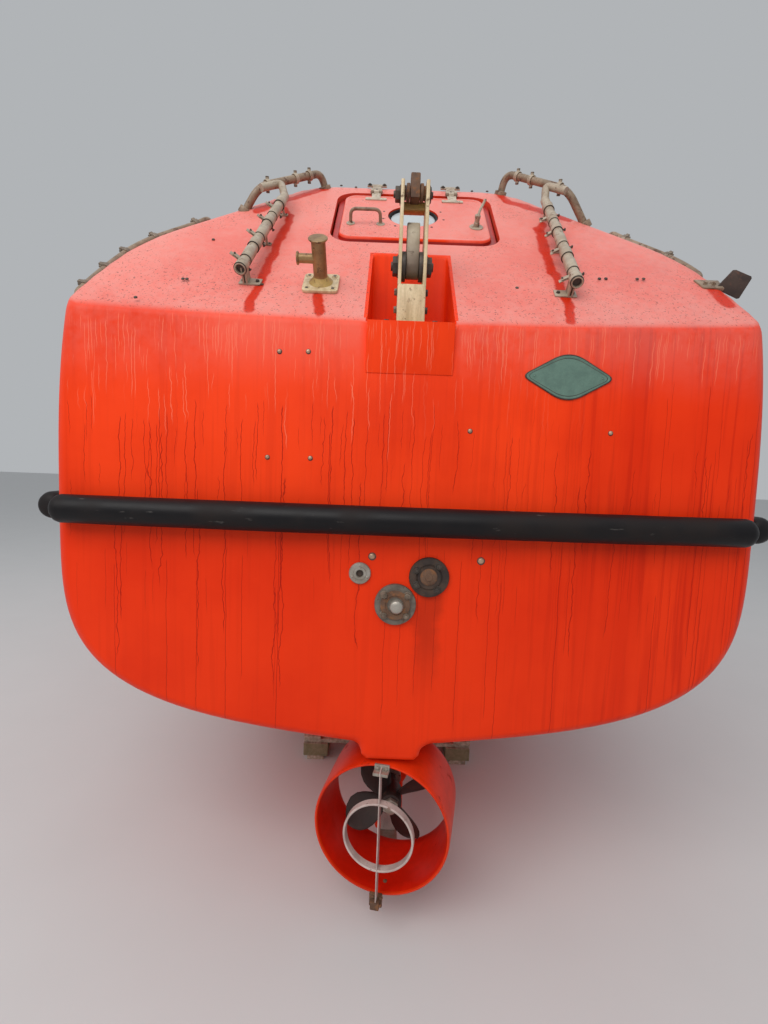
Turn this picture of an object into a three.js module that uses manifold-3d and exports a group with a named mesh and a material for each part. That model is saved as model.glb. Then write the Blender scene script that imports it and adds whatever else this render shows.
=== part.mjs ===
// Totally enclosed motor lifeboat standing on two wooden pallets, in millimetres.
// X points to starboard, Y forward to the bow and Z up. Every piece is drawn with y = 0 at the
// transom and z = 0 on the ground. The last lines move the boat so that the middle of its length
// lies over the origin.

import * as THREE from 'three';
import { mergeVertices } from 'three/addons/utils/BufferGeometryUtils.js';
import Module from 'manifold-3d';

const wasm = await Module();
wasm.setup();

// Hull and canopy
const length = 7200;
const gunwaleZ = 1590;
const keelZ = 156;
const hullWall = 60;
const canopyWall = 30;
const seam = 0.3;
const archHeight = 1600;
const archPower = 2.9;
// The flat shoulder of the canopy's section: its height over the middle and its lean, as shares
const flatLevel = 1.2125;
const flatLean = 0.6146;
const flatBlend = 0.03;
const bilgePower = 4;
const deadrise = 0.13;
const transomCamber = 40;
const camberEnd = 600;
const transomTopZ = 2267;
const stemTopZ = 1900;
const aftAngle = THREE.MathUtils.degToRad(45);
const foreAngle = THREE.MathUtils.degToRad(36);

// Stations along the hull: distance from the transom, half breadth at the gunwale and depth of
// the hull's bottom below the gunwale
const stations = [
  { y: 0, breadth: 1228, depth: 812 },
  { y: 40, breadth: 1255, depth: 835 },
  { y: 600, breadth: 1275, depth: 960 },
  { y: 1800, breadth: 1290, depth: 1130 },
  { y: 3400, breadth: 1285, depth: 1225 },
  { y: 4800, breadth: 1215, depth: 1200 },
  { y: 5700, breadth: 1020, depth: 1085 },
  { y: 6400, breadth: 730, depth: 850 },
  { y: 6900, breadth: 400, depth: 500 },
  { y: 7200, breadth: 70, depth: 170 },
];

// Where the outer skins have their sections
const sections = [0, 40, 300, 600, 1200, 1800, 2800, 3800, 4600, 5100, 5500, 5850, 6200, 6550, 6850,
  7060, 7200];
const innerSections = [600, 1800, 3800, 5100, 5850, 6400, 6900];

// Steering nozzle and propeller
const shaftZ = 427;
const stockY = 200;
const nozzleTurn = THREE.MathUtils.degToRad(-11.5);
const nozzleFront = 90;
const nozzleRear = -200;
const frontRadius = 263;
const rearRadius = 257;
const propellerRadius = 205;
const skegZ = 700;
const skegWidth = 232;
const deadwoodWidth = 120;
const deadwoodY = 375;
const shoeThickness = 12;
const stockRadius = 25;

// Hook wells and hooks
const wellWidth = 300;
const wellDepth = 355;
const wellWall = 30;
const foreWellY = 6450;
const foreWellZ = 2150;
const foreWellEnd = 6950;

// Lifting hooks: distances from the foot's middle and heights above the well's floor
const hookYs = [120, foreWellY + 260];
const hook = {
  half: 50,
  plate: 12,
  depth: 45,
  foot: [110, 90, 10],
  column: 152,
  pivotY: 10,
  pivotZ: 228,
  crossLow: 434,
  crossHigh: 458,
  boltZ: 470,
  boltRadius: 26,
  boltHead: 22,
  top: 519,
  linkTop: 547,
  linkHalf: 16.5,
  bushRadius: 31,
  tongueHalf: 23,
  tongueTop: 377,
  tongueRound: 36,
};

// Hatches
const hatchGap = 6;
const panelThickness = 26;
const panelDrop = 3;
const hingeRadius = 9;
const hingeLift = 9;
const aftHatch = { x: 20, s: 892, width: 710, height: 536, corner: 60, hinge: 181 };
const foreHatch = { x: 0, s: 1330, width: 560, height: 480, corner: 60, hinge: 150 };
const hingeArm = 13;
const hingeLug = { offset: 20.5, half: 7 };
const portRadius = 113;
const port = { x: -6, s: 6, paneThickness: 8, paneDrop: 20 };
const grip = { width: 131, height: 62, radius: 7 };
const aftGrip = { x: -215.5, s: -95 };
const foreGrip = { x: 0, s: -150 };
const lever = { x: 270, s: -90 };
const sideHatch = { y0: 2850, y1: 3550, z0: 1760, z1: 2380 };

// Cupola: height, half width, half length
const cupolaY = 2700;
const cupolaWall = 25;
const cupolaLevels = [
  { z: 3080, width: 480, length: 650 },
  { z: 3460, width: 440, length: 600 },
  { z: 3570, width: 390, length: 540 },
  { z: 3605, width: 300, length: 440 },
];

// Inside
const floorZ = 700;
const seatZ = 1050;
const aisle = 860;
const engine = { y: 1050, length: 850, width: 600, height: 480 };

// Fenders, rails and pallets
const fenderRadius = 51;
const fenderDepth = 92;
const pipeFlanges = [
  { name: 'exhaust_flange', x: -17, z: 1291, radius: 74, thickness: 18, boss: 27, bossEnd: 36, bolts: 4, bolt: 11 },
  { name: 'inlet_flange', x: 99, z: 1393, radius: 71, thickness: 16, boss: 30, bossEnd: 24, bolts: 4, bolt: 10 },
  { name: 'drain_flange', x: -146, z: 1398, radius: 39, thickness: 12, boss: 0, bossEnd: 0, bolts: 3, bolt: 6 },
];
const ladderLift = 75;
const ladderRadius = 23.5;
const ladders = [
  { word: 'port', foot: [-615, 195], head: [-560, 900] },
  { word: 'starboard', foot: [583, 185], head: [606, 960] },
];
const sideRail = {
  portStart: 130,
  starboardStart: 345,
  edgePosts: [250, 345, 450, 560],
  edgeDrop: 15,
  edgeLift: 50,
  lift: 70,
  turn: 760,
  end: 5100,
  posts: 8,
  angle: THREE.MathUtils.degToRad(48),
  radius: 16,
};
const bollard = { plate: 65, height: 170, radius: 25, cap: 34, stub: 95, stubEnd: 80 };
const crossRadius = 19.5;
const crossRails = [
  { word: 'port', side: -1, outer: [-748, 655, 2915], inner: [-418, 885, 3140] },
  { word: 'starboard', side: 1, outer: [798, 660, 2910], inner: [452, 895, 3150] },
];
const palletSize = [1000, 1200, 144];
const palletYs = [1750, 4650];

const up = new THREE.Vector3(0, 1, 0);
const upright = new THREE.Matrix4().makeBasis(
  new THREE.Vector3(0, 1, 0), new THREE.Vector3(0, 0, 1), new THREE.Vector3(1, 0, 0));

function solid(geometry) {
  const plain = geometry.index ? geometry.toNonIndexed() : geometry.clone();
  plain.deleteAttribute('normal');
  plain.deleteAttribute('uv');
  const merged = mergeVertices(plain, 1e-3);
  return new wasm.Manifold(new wasm.Mesh({
    numProp: 3,
    vertProperties: new Float32Array(merged.attributes.position.array),
    triVerts: new Uint32Array(merged.index.array),
  }));
}

function join(first, ...others) {
  return others.reduce((whole, other) => whole.add(other), first);
}

function cut(first, ...others) {
  return others.reduce((whole, other) => whole.subtract(other), first);
}

// A named mesh with its own material, from a solid
function piece(name, shape, colour, roughness, metalness) {
  const { vertProperties, triVerts } = shape.getMesh();
  const geometry = new THREE.BufferGeometry();
  geometry.setAttribute('position', new THREE.BufferAttribute(new Float32Array(vertProperties), 3));
  geometry.setIndex(new THREE.BufferAttribute(new Uint32Array(triVerts), 1));
  geometry.computeVertexNormals();
  const material = new THREE.MeshStandardMaterial({ color: colour, roughness, metalness });
  const mesh = new THREE.Mesh(geometry, material);
  mesh.name = name;
  return mesh;
}

const orange = (name, shape) => piece(name, shape, 0xd63a12, 0.45, 0);
const steel = (name, shape) => piece(name, shape, 0x9b8c6c, 0.5, 0.8);
const rubber = (name, shape) => piece(name, shape, 0x151618, 0.7, 0);
const glass = (name, shape) => piece(name, shape, 0x8fa3a8, 0.1, 0);

// Plain shapes

function block([x0, y0, z0], [x1, y1, z1]) {
  const geometry = new THREE.BoxGeometry(x1 - x0, y1 - y0, z1 - z0);
  return solid(geometry.translate((x0 + x1) / 2, (y0 + y1) / 2, (z0 + z1) / 2));
}

function rod(from, to, radius, sides = 16) {
  const axis = new THREE.Vector3(...to).sub(new THREE.Vector3(...from));
  const geometry = new THREE.CylinderGeometry(radius, radius, axis.length(), sides);
  geometry.translate(0, axis.length() / 2, 0);
  geometry.applyQuaternion(new THREE.Quaternion().setFromUnitVectors(up, axis.normalize()));
  return solid(geometry.translate(...from));
}

function outline(points) {
  return new THREE.Shape(points.map(([u, v]) => new THREE.Vector2(u, v)));
}

function roundedRectangle(width, height, radius) {
  const [w, h] = [width / 2, height / 2];
  const shape = new THREE.Shape();
  shape.moveTo(w, radius - h);
  shape.lineTo(w, h - radius);
  shape.absarc(w - radius, h - radius, radius, 0, Math.PI / 2);
  shape.absarc(radius - w, h - radius, radius, Math.PI / 2, Math.PI);
  shape.absarc(radius - w, radius - h, radius, Math.PI, Math.PI * 1.5);
  shape.absarc(w - radius, radius - h, radius, Math.PI * 1.5, Math.PI * 2);
  return shape;
}

// A shape of (x, y) points given thickness along z, from z0 up
function plate(shape, z0, thickness) {
  const options = { depth: thickness, bevelEnabled: false, curveSegments: 4 };
  return new THREE.ExtrudeGeometry(shape, options).translate(0, 0, z0);
}

// A shape of (y, z) points given thickness along x, from x0 on
function sidePlate(shape, x0, thickness) {
  const options = { depth: thickness, bevelEnabled: false, curveSegments: 8 };
  return solid(new THREE.ExtrudeGeometry(shape, options).applyMatrix4(upright).translate(x0, 0, 0));
}

// A tube of straight and rounded stretches through points
function tube(points, radius, steps, sides = 12, tension = 0.5) {
  const path = new THREE.CatmullRomCurve3(
    points.map((p) => new THREE.Vector3(...p)), false, 'catmullrom', tension);
  const circle = new THREE.Shape();
  circle.absarc(0, 0, radius, 0, Math.PI * 2);
  const options = { steps, extrudePath: path, curveSegments: sides / 2, bevelEnabled: false };
  return solid(new THREE.ExtrudeGeometry(circle, options));
}

// A turned piece whose profile is (radius, height) points, with its axis along y
function turned(points, sides) {
  const profile = points.map(([r, h]) => new THREE.Vector2(r, h));
  return solid(new THREE.LatheGeometry([...profile, profile[0]], sides));
}

// A closed skin over rings of points, with a tip at either end
function loft(rings, tail, nose) {
  const count = rings[0].length;
  const points = [tail, ...rings.flat(), nose];
  const at = (ring, i) => 1 + ring * count + (i % count);
  const faces = [];
  for (let i = 0; i < count; i += 1) {
    faces.push(0, at(0, i), at(0, i + 1));
    faces.push(points.length - 1, at(rings.length - 1, i + 1), at(rings.length - 1, i));
    for (let ring = 0; ring < rings.length - 1; ring += 1) {
      faces.push(at(ring, i), at(ring + 1, i + 1), at(ring, i + 1));
      faces.push(at(ring, i), at(ring + 1, i), at(ring + 1, i + 1));
    }
  }
  return new wasm.Manifold(new wasm.Mesh({
    numProp: 3,
    vertProperties: new Float32Array(points.flatMap((p) => [p.x, p.y, p.z])),
    triVerts: new Uint32Array(faces),
  }));
}

// Hull form

// A smooth curve through one column of the stations
function along(column, y) {
  const last = stations.length - 1;
  const next = Math.min(Math.max(stations.findIndex((s) => s.y >= y), 1), last);
  const slope = (i) => {
    const [a, b] = [stations[Math.max(i - 1, 0)], stations[Math.min(i + 1, last)]];
    return (b[column] - a[column]) / (b.y - a.y);
  };
  const [a, b] = [stations[next - 1], stations[next]];
  const span = b.y - a.y;
  const t = (y - a.y) / span;
  return a[column] * (1 - t) ** 2 * (1 + 2 * t) + b[column] * t ** 2 * (3 - 2 * t)
    + slope(next - 1) * span * t * (1 - t) ** 2 - slope(next) * span * t ** 2 * (1 - t);
}

function softMin(a, b, reach) {
  return Math.min(a, b) - Math.max(reach - Math.abs(a - b), 0) ** 2 / (4 * reach);
}

// A point of the canopy's arch, inset from the outside, at an angle from the starboard gunwale
function canopyPoint(y, angle, inset) {
  const breadth = along('breadth', y) - inset;
  const arch = archHeight - inset;
  const [across, height] = [Math.abs(Math.cos(angle)), Math.sin(angle)];
  const round = (across ** archPower + height ** archPower) ** (-1 / archPower);
  const scale = softMin(round, flatLevel / (height + flatLean * across), flatBlend);
  const camber = transomCamber * Math.max(0, 1 - y / camberEnd);
  return new THREE.Vector3(breadth * Math.cos(angle) * scale, y + camber * (across * scale) ** 2,
    gunwaleZ + arch * height * scale);
}

function hullPoint(y, angle, inset) {
  const breadth = along('breadth', y) - inset;
  const depth = along('depth', y) - inset;
  const [across, down] = [Math.abs(Math.cos(angle)), Math.abs(Math.sin(angle))];
  const scale = (across ** bilgePower + down ** bilgePower) ** (-1 / bilgePower);
  const camber = transomCamber * Math.max(0, 1 - y / camberEnd);
  const x = breadth * Math.cos(angle) * scale;
  const drop = depth * down * scale * (1 - deadrise * Math.abs(x) / depth);
  return new THREE.Vector3(x, y + camber * (across * scale) ** 2, gunwaleZ - seam - drop);
}

// A solid inside one skin. The rounded transom is closed by smaller copies of its first ring.
function skin(pointAt, sections, inset, startAngle, segments) {
  const rings = sections.map((y) => Array.from({ length: segments + 1 }, (_, i) =>
    pointAt(y, startAngle + Math.PI * i / segments, inset)));
  const first = rings[0];
  const [y0, z0] = [sections[0], first[0].z];
  const caps = [0.25, 0.5, 0.75].map((scale) => first.map((p) => new THREE.Vector3(
    p.x * scale, y0 + (p.y - y0) * scale ** 2, z0 + (p.z - z0) * scale)));
  const last = rings[rings.length - 1];
  const nose = last.reduce((sum, p) => sum.add(p), new THREE.Vector3()).divideScalar(last.length);
  return loft([...caps, ...rings], new THREE.Vector3(0, y0, z0), nose);
}

// Frames lying on the two slopes: x across, y up the slope, z out of the surface
function slopeFrame(y, z, tilt, turn) {
  const frame = new THREE.Group();
  frame.position.set(0, y, z);
  frame.rotation.set(tilt, 0, turn, 'ZXY');
  frame.updateMatrix();
  return frame;
}

const aftFrame = slopeFrame(0, transomTopZ, aftAngle, 0);
const foreFrame = slopeFrame(length, stemTopZ, foreAngle, Math.PI);
const laid = (geometry, frame) => solid(geometry.applyMatrix4(frame.matrix));

// The canopy's arch with everything above the two slopes taken off
function sloped(arch, inset) {
  const above = [aftFrame, foreFrame].map((frame) =>
    laid(new THREE.BoxGeometry(4000, 9000, 3000).translate(0, 1500, 1500 - inset), frame));
  return cut(arch, ...above);
}

// Outer skins, and coarser inner ones that end short of the stem
const canopySkin = (inset) => sloped(skin(canopyPoint, sections, inset, 0, 28), inset);
const hullSkin = (inset) => skin(hullPoint, sections, inset, Math.PI, 20);
const canopyHollow = (inset) => sloped(
  skin(canopyPoint, [inset, ...innerSections], inset, 0, 16), inset);
const hullHollow = (inset) => skin(hullPoint, [inset, ...innerSections], inset, Math.PI, 14);

const canopyClear = canopySkin(-seam);
const hullClear = hullSkin(-seam);
const seated = (shape) => cut(shape, canopyClear, hullClear);

// Hull shell with skeg and deadwood

function makeHull() {
  const skegProfile = outline([[0, skegZ], [1600, skegZ], [1600, 1000], [0, 1000]]);
  const keelProfile = outline([[deadwoodY, keelZ], [5000, keelZ], [5900, 360], [6500, 760],
    [6500, 1000], [deadwoodY, 1000]]);
  const skeg = sidePlate(skegProfile, -skegWidth / 2, skegWidth);
  const keel = sidePlate(keelProfile, -deadwoodWidth / 2, deadwoodWidth);
  const boss = rod([0, deadwoodY, shaftZ], [0, 1000, shaftZ], 78);
  const bearing = rod([0, stockY, skegZ - 10], [0, stockY, skegZ + 60], stockRadius + 0.6);
  return cut(join(hullSkin(0), skeg, keel, boss), hullHollow(hullWall), bearing);
}

function makeKeelShoe() {
  const bar = block([-40, 160, keelZ - shoeThickness], [40, 5000, keelZ - seam]);
  return cut(bar, rod([0, stockY, 100], [0, stockY, 200], 17));
}

// Canopy

function hatchHole(frame, hatch, margin, low, high) {
  const shape = roundedRectangle(hatch.width + margin * 2, hatch.height + margin * 2,
    Math.max(hatch.corner + margin, 10));
  return laid(plate(shape, low, high - low).translate(hatch.x, hatch.s, 0), frame);
}

// Fixed hinge lugs on either side of each moving knuckle
function hatchLugs(frame, hatch) {
  const lugs = [];
  for (const side of [-1, 1]) {
    for (const end of [-1, 1]) {
      const lug = new THREE.BoxGeometry(hingeLug.half * 2, 44, 30);
      const x = hatch.x + side * hatch.hinge + end * hingeLug.offset;
      lug.translate(x, hatch.s + hatch.height / 2 + 18, hingeLift - 9);
      lugs.push(laid(lug, frame));
    }
  }
  return lugs;
}

function sideHatchBox(margin, side) {
  const { y0, y1, z0, z1 } = sideHatch;
  const depth = new THREE.ExtrudeGeometry(
    roundedRectangle(y1 - y0 + margin * 2, z1 - z0 + margin * 2, 60 + margin),
    { depth: 500, bevelEnabled: false, curveSegments: 5 });
  depth.applyMatrix4(upright);
  return solid(depth.translate(side > 0 ? 1000 : -1500, (y0 + y1) / 2, (z0 + z1) / 2));
}

const sidePorts = [1500, 5000];
const portBox = (y, side, radius) => rod([side * 900, y, 2140], [side * 1500, y, 2140], radius, 18);

function makeCanopy() {
  const half = wellWidth / 2;
  const lined = half + wellWall;
  const outer = canopySkin(0);
  const linings = join(
    block([-lined, 10, transomTopZ - wellWall], [lined, wellDepth + wellWall, 2800]),
    block([-lined, foreWellY - wellWall, foreWellZ - wellWall], [lined, foreWellEnd, 2700]),
    hatchHole(aftFrame, aftHatch, 40, -62, 0),
    hatchHole(foreFrame, foreHatch, 40, -62, 0),
  );
  const lip = sidePlate(outline([[-15, transomTopZ], [8, transomTopZ], [8, 2092], [0, 2100]]),
    -half, wellWidth);
  const lugs = [...hatchLugs(aftFrame, aftHatch), ...hatchLugs(foreFrame, foreHatch),
    ...sideLugs(-1), ...sideLugs(1)];
  const skinned = join(cut(outer, canopyHollow(canopyWall)), linings.intersect(outer), lip, ...lugs);
  const holes = [
    block([-half, -100, transomTopZ], [half, wellDepth, 3500]),
    block([-half, foreWellY, foreWellZ], [half, 8000, 3500]),
    block([-330, cupolaY - 480, 3000], [330, cupolaY + 480, 3300]),
  ];
  for (const [frame, hatch] of [[aftFrame, aftHatch], [foreFrame, foreHatch]]) {
    holes.push(hatchHole(frame, hatch, hatchGap, -panelThickness - panelDrop, 20));
    holes.push(hatchHole(frame, hatch, -45, -90, 10));
  }
  for (const side of [-1, 1]) {
    holes.push(sideHatchBox(hatchGap, side));
    sidePorts.forEach((y) => holes.push(portBox(y, side, 110)));
  }
  return cut(skinned, ...holes);
}

// Panes cut from a thin layer of the canopy's own skin
function makeSidePanes() {
  const layer = cut(canopySkin(8), canopySkin(16));
  const panes = [];
  for (const [side, word] of [[-1, 'port'], [1, 'starboard']]) {
    sidePorts.forEach((y, i) => {
      const pane = layer.intersect(portBox(y, side, 110 - seam));
      panes.push(glass(`side_pane_${word}_${i === 0 ? 'aft' : 'forward'}`, pane));
    });
  }
  return panes;
}

// Hatches lying on the slopes, drawn about their own centres

function makeHatchPanel(hatch, withPort) {
  const shape = roundedRectangle(hatch.width, hatch.height, hatch.corner);
  let panel = solid(plate(shape, -panelThickness - panelDrop + seam, panelThickness - seam));
  if (withPort) {
    panel = cut(panel, rod([port.x, port.s, -60], [port.x, port.s, 60], portRadius, 32));
  }
  const edge = hatch.height / 2;
  for (const side of [-1, 1]) {
    const x = side * hatch.hinge;
    const strap = block([x - 26, edge - 70, -panelDrop - 2], [x + 26, edge - 14, 4]);
    const axis = edge + 3;
    const arm = block([x - hingeArm, edge - 30, -panelDrop - 2], [x + hingeArm, axis, hingeLift]);
    const knuckle = rod([x - hingeArm, axis, hingeLift], [x + hingeArm, axis, hingeLift], hingeRadius);
    panel = join(panel, strap, arm, knuckle);
  }
  return panel;
}

// A bent bar handle with its feet on the panel
function makeGrip() {
  const [w, h] = [grip.width / 2, grip.height];
  const path = [[-w, 0, 0], [-w, 0, h * 0.8], [-w * 0.8, 0, h], [w * 0.8, 0, h], [w, 0, h * 0.8], [w, 0, 0]];
  return tube(path, grip.radius, 14, 8, 0.2);
}

function makeLever() {
  const base = rod([0, 0, 0], [0, 0, 6], 30);
  const spindle = rod([0, 0, 4], [0, 0, 52], 12);
  return join(base, spindle, rod([0, -10, 45], [30, 52, 94], 6));
}

// A lifting hook on the floor of its well, drawn with its foot at the origin
function makeHook() {
  const { half, pivotY, pivotZ, boltZ } = hook;
  const [footX, footY, footHeight] = hook.foot;
  const foot = block([-footX, -footY, 0], [footX, footY, footHeight]);
  const column = block([-half, -hook.depth, 0], [half, hook.depth, hook.column]);
  const profile = outline([[-42, hook.column - 30], [42, hook.column - 30], [72, pivotZ], [66, 450], [52, 500],
    [30, hook.top], [-26, hook.top], [-46, 500], [-52, 420], [-46, pivotZ]]);
  const eye = outline([[-34, 447], [30, 447], [36, 490], [26, 535], [12, hook.linkTop], [-14, hook.linkTop],
    [-30, 530], [-38, 490]]);
  const parts = [foot, column, sidePlate(eye, -hook.linkHalf, hook.linkHalf * 2)];
  parts.push(block([4 - half, 20, hook.crossLow], [half - 4, 60, hook.crossHigh]));
  for (const side of [-1, 1]) {
    const inner = side * (half - hook.plate);
    const head = side * (half + hook.boltHead);
    const held = side * (hook.tongueHalf + seam);
    parts.push(sidePlate(profile, side > 0 ? inner : -half, hook.plate));
    parts.push(rod([side * 10, 0, boltZ], [inner + side * 2, 0, boltZ], hook.bushRadius));
    parts.push(rod([inner, 0, boltZ], [head, 0, boltZ], hook.boltRadius, 6));
    parts.push(rod([held, pivotY, pivotZ], [side * half, pivotY, pivotZ], 20, 12));
    parts.push(rod([inner, pivotY, pivotZ], [head, pivotY, pivotZ], 34, 6));
  }
  return join(...parts);
}

function makeTongue() {
  const { tongueRound, tongueHalf, tongueTop, pivotZ } = hook;
  const reach = tongueTop - pivotZ;
  const shape = new THREE.Shape();
  shape.moveTo(tongueRound, 0);
  shape.lineTo(24, reach - 19);
  shape.lineTo(16, reach);
  shape.lineTo(-10, reach);
  shape.lineTo(-26, reach - 29);
  shape.lineTo(-tongueRound, 0);
  shape.absarc(0, 0, tongueRound, Math.PI, Math.PI * 2);
  return sidePlate(shape, -tongueHalf, tongueHalf * 2);
}

// Deck fittings

function makeBollard() {
  const { plate: half, height, radius, cap, stub, stubEnd } = bollard;
  return join(
    block([-half, -half, seam], [half, half, 12]),
    rod([0, 0, 5], [0, 0, height - 10], radius, 20),
    rod([0, 0, height - 15], [0, 0, height], cap, 20),
    rod([0, 0, stub], [12 - stubEnd, 0, stub], 20),
    rod([14 - stubEnd, 0, stub], [-stubEnd, 0, stub], 27),
  );
}

// A rail up the aft slope, drawn along y, with sleeves round it and feet under it
function makeLadderRail(span) {
  const lift = ladderLift;
  const pieces = [rod([0, 0, lift], [0, span, lift], ladderRadius)];
  for (const share of [0.1, 0.34, 0.58, 0.82]) {
    const y = span * share;
    pieces.push(rod([0, y - 14, lift], [0, y + 14, lift], ladderRadius + 8, 12));
    pieces.push(block([-38, y - 10, lift + 18], [38, y + 10, lift + 24]));
  }
  for (const share of [0.13, 0.52, 0.93]) {
    const y = span * share;
    pieces.push(block([-8, y - 20, -20], [8, y + 20, lift]));
    pieces.push(block([-36, y - 26, -20], [36, y + 26, 9]));
  }
  return join(...pieces);
}

function placed(shape, x, y, frame, turn = 0) {
  const matrix = new THREE.Matrix4().makeRotationZ(turn).setPosition(x, y, 0);
  return shape.transform(matrix.premultiply(frame.matrix).elements);
}

// A bent tube across the top of the aft slope, from its outer foot to its inner foot
function makeCrossRail({ side, outer, inner }) {
  const [rise, back] = [75, -65];
  const lifted = ([x, y, z], share) => [x, y + back * share, z + rise * share];
  const path = [
    outer,
    lifted([outer[0] - side * 18, outer[1] + 4, outer[2] + 12], 0.85),
    lifted([outer[0] - side * 75, outer[1] + 22, outer[2] + 44], 1.15),
    lifted([inner[0] + side * 52, inner[1] - 24, inner[2] - 20], 1.05),
    lifted([inner[0] + side * 6, inner[1], inner[2]], 0.72),
    inner,
  ];
  return seated(tube(path, crossRadius, 30, 10, 0.3));
}

// A long rail on posts: up behind the edge of the aft slope, then along the canopy's shoulder
function makeSideRail(side) {
  const { edgeDrop, edgeLift, lift, turn, end, posts, angle, radius } = sideRail;
  const start = side > 0 ? sideRail.starboardStart : sideRail.portStart;
  const angleAt = (y) => {
    let [low, high] = [0, angle];
    for (let i = 0; i < 20; i += 1) {
      const middle = (low + high) / 2;
      if (canopyPoint(y, middle, 0).z < transomTopZ + y - edgeDrop) low = middle;
      else high = middle;
    }
    return high;
  };
  const pointOut = (y, distance) => {
    const p = canopyPoint(y, angleAt(y), -distance);
    return [side * p.x, y, p.z];
  };
  const ys = [start, ...sideRail.edgePosts.filter((y) => y > start + 60)];
  const edgeCount = ys.length;
  for (let i = 0; i < posts; i += 1) ys.push(turn + (end - turn) * i / (posts - 1));
  const liftAt = (i) => (i < edgeCount ? edgeLift : lift);
  const rail = tube(ys.map((y, i) => pointOut(y, liftAt(i))), radius, 44, 8);
  const legs = ys.map((y, i) => rod(pointOut(y, -20), pointOut(y, liftAt(i)), 12, 8));
  return seated(join(rail, ...legs));
}

// A pipe flange on the transom with its boss and a ring of bolts
function makeFlange({ radius, thickness, boss, bossEnd, bolts, bolt }) {
  const parts = [rod([0, 0, 0], [0, -thickness, 0], radius, 32)];
  if (boss > 0) parts.push(rod([0, -thickness + 2, 0], [0, -bossEnd, 0], boss, 24));
  for (let i = 0; i < bolts; i += 1) {
    const angle = Math.PI * 2 * (i + 0.5) / bolts;
    const [x, z] = [Math.cos(angle) * radius * 0.73, Math.sin(angle) * radius * 0.73];
    parts.push(rod([x, -thickness + 2, z], [x, -thickness - 10, z], bolt, 6));
  }
  return join(...parts);
}

// The bent bracket at the starboard shoulder: a base on the slope and a plate that stands outboard
function makeCornerBracket() {
  const base = placed(block([-48, -31, -30], [48, 31, 6]), 1137, 345, aftFrame);
  const corners = outline([[1140, 2470], [1246, 2461], [1254, 2465], [1292, 2538], [1288, 2546], [1228, 2566],
    [1219, 2563], [1160, 2492]]);
  const wing = plate(corners, 0, 6);
  wing.rotateX(Math.PI / 2);
  return seated(join(base, solid(wing.translate(0, 235, 0))));
}

// Fenders

// A round rubber section with a flat back, run along points of the skin. Each point has the
// direction out of the skin and a scale that rounds off the ends.
function fender(path) {
  const centre = fenderDepth - fenderRadius;
  const open = Math.PI - Math.acos(centre / fenderRadius);
  const rings = path.map(({ at, out, scale }) => Array.from({ length: 9 }, (_, k) => {
    const angle = open * (k / 4 - 1);
    const outward = (centre + fenderRadius * Math.cos(angle)) * scale + seam * 2;
    const height = fenderRadius * Math.sin(angle) * scale;
    return at.clone().addScaledVector(out, outward).add(new THREE.Vector3(0, 0, height));
  }));
  const middle = (ring) => ring.reduce((sum, p) => sum.add(p), new THREE.Vector3())
    .divideScalar(ring.length);
  return loft(rings, middle(rings[0]), middle(rings[rings.length - 1]));
}

// Directions out of a path seen from above, with both ends rounded
function withEnds(points) {
  const outs = points.map((p, i) => {
    const [before, after] = [points[Math.max(i - 1, 0)], points[Math.min(i + 1, points.length - 1)]];
    const along = after.clone().sub(before).normalize();
    return new THREE.Vector3(along.y, -along.x, 0);
  });
  const path = points.map((at, i) => ({ at, out: outs[i], scale: 1 }));
  const ends = [[0, points[0].clone().sub(points[1])], [path.length - 1,
    points[path.length - 1].clone().sub(points[path.length - 2])]];
  const caps = ends.map(([i, outward]) => [[18, 0.92], [34, 0.72], [44, 0.4]].map(([step, scale]) => ({
    at: points[i].clone().addScaledVector(outward.clone().normalize(), step), out: outs[i], scale })));
  return [...caps[0].reverse(), ...path, ...caps[1]];
}

const transomY = (x) => transomCamber * (x / stations[0].breadth) ** 2;

function makeTransomFender() {
  const ring = [-0.96, -0.75, -0.5, -0.25, 0, 0.25, 0.5, 0.75, 0.96];
  return fender(withEnds(ring.map((t) => {
    const x = t * stations[0].breadth;
    return new THREE.Vector3(x, transomY(x), gunwaleZ);
  })));
}

function makeSideFender() {
  const ys = [120, ...sections.filter((y) => y > 120)];
  const starboard = ys.map((y) => new THREE.Vector3(along('breadth', y), y, gunwaleZ));
  const port = starboard.map((p) => new THREE.Vector3(-p.x, p.y, p.z)).reverse();
  return fender(withEnds([...starboard, ...port]));
}

// Inside

function makeLiner() {
  const body = hullHollow(hullWall + seam).intersect(block([-1300, 150, floorZ - 40], [1300, 6300, seatZ]));
  return cut(body, block([-aisle / 2, 420, floorZ], [aisle / 2, 5900, seatZ + 100]));
}

// Cupola

function cupolaSkin(inset) {
  const rings = cupolaLevels.map((level, i) => {
    const z = i === cupolaLevels.length - 1 ? level.z - inset : level.z;
    return Array.from({ length: 24 }, (_, k) => {
      const angle = Math.PI * 2 * (k + 0.5) / 24;
      const [c, s] = [Math.cos(angle), Math.sin(angle)];
      const scale = (Math.abs(c) ** 4 + Math.abs(s) ** 4) ** -0.25;
      return new THREE.Vector3((level.width - inset) * c * scale,
        cupolaY + (level.length - inset) * s * scale, z);
    });
  });
  const [low, high] = [rings[0][0].z, rings[rings.length - 1][0].z];
  const reversed = rings.reverse();
  return loft(reversed, new THREE.Vector3(0, cupolaY, high), new THREE.Vector3(0, cupolaY, low));
}

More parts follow.
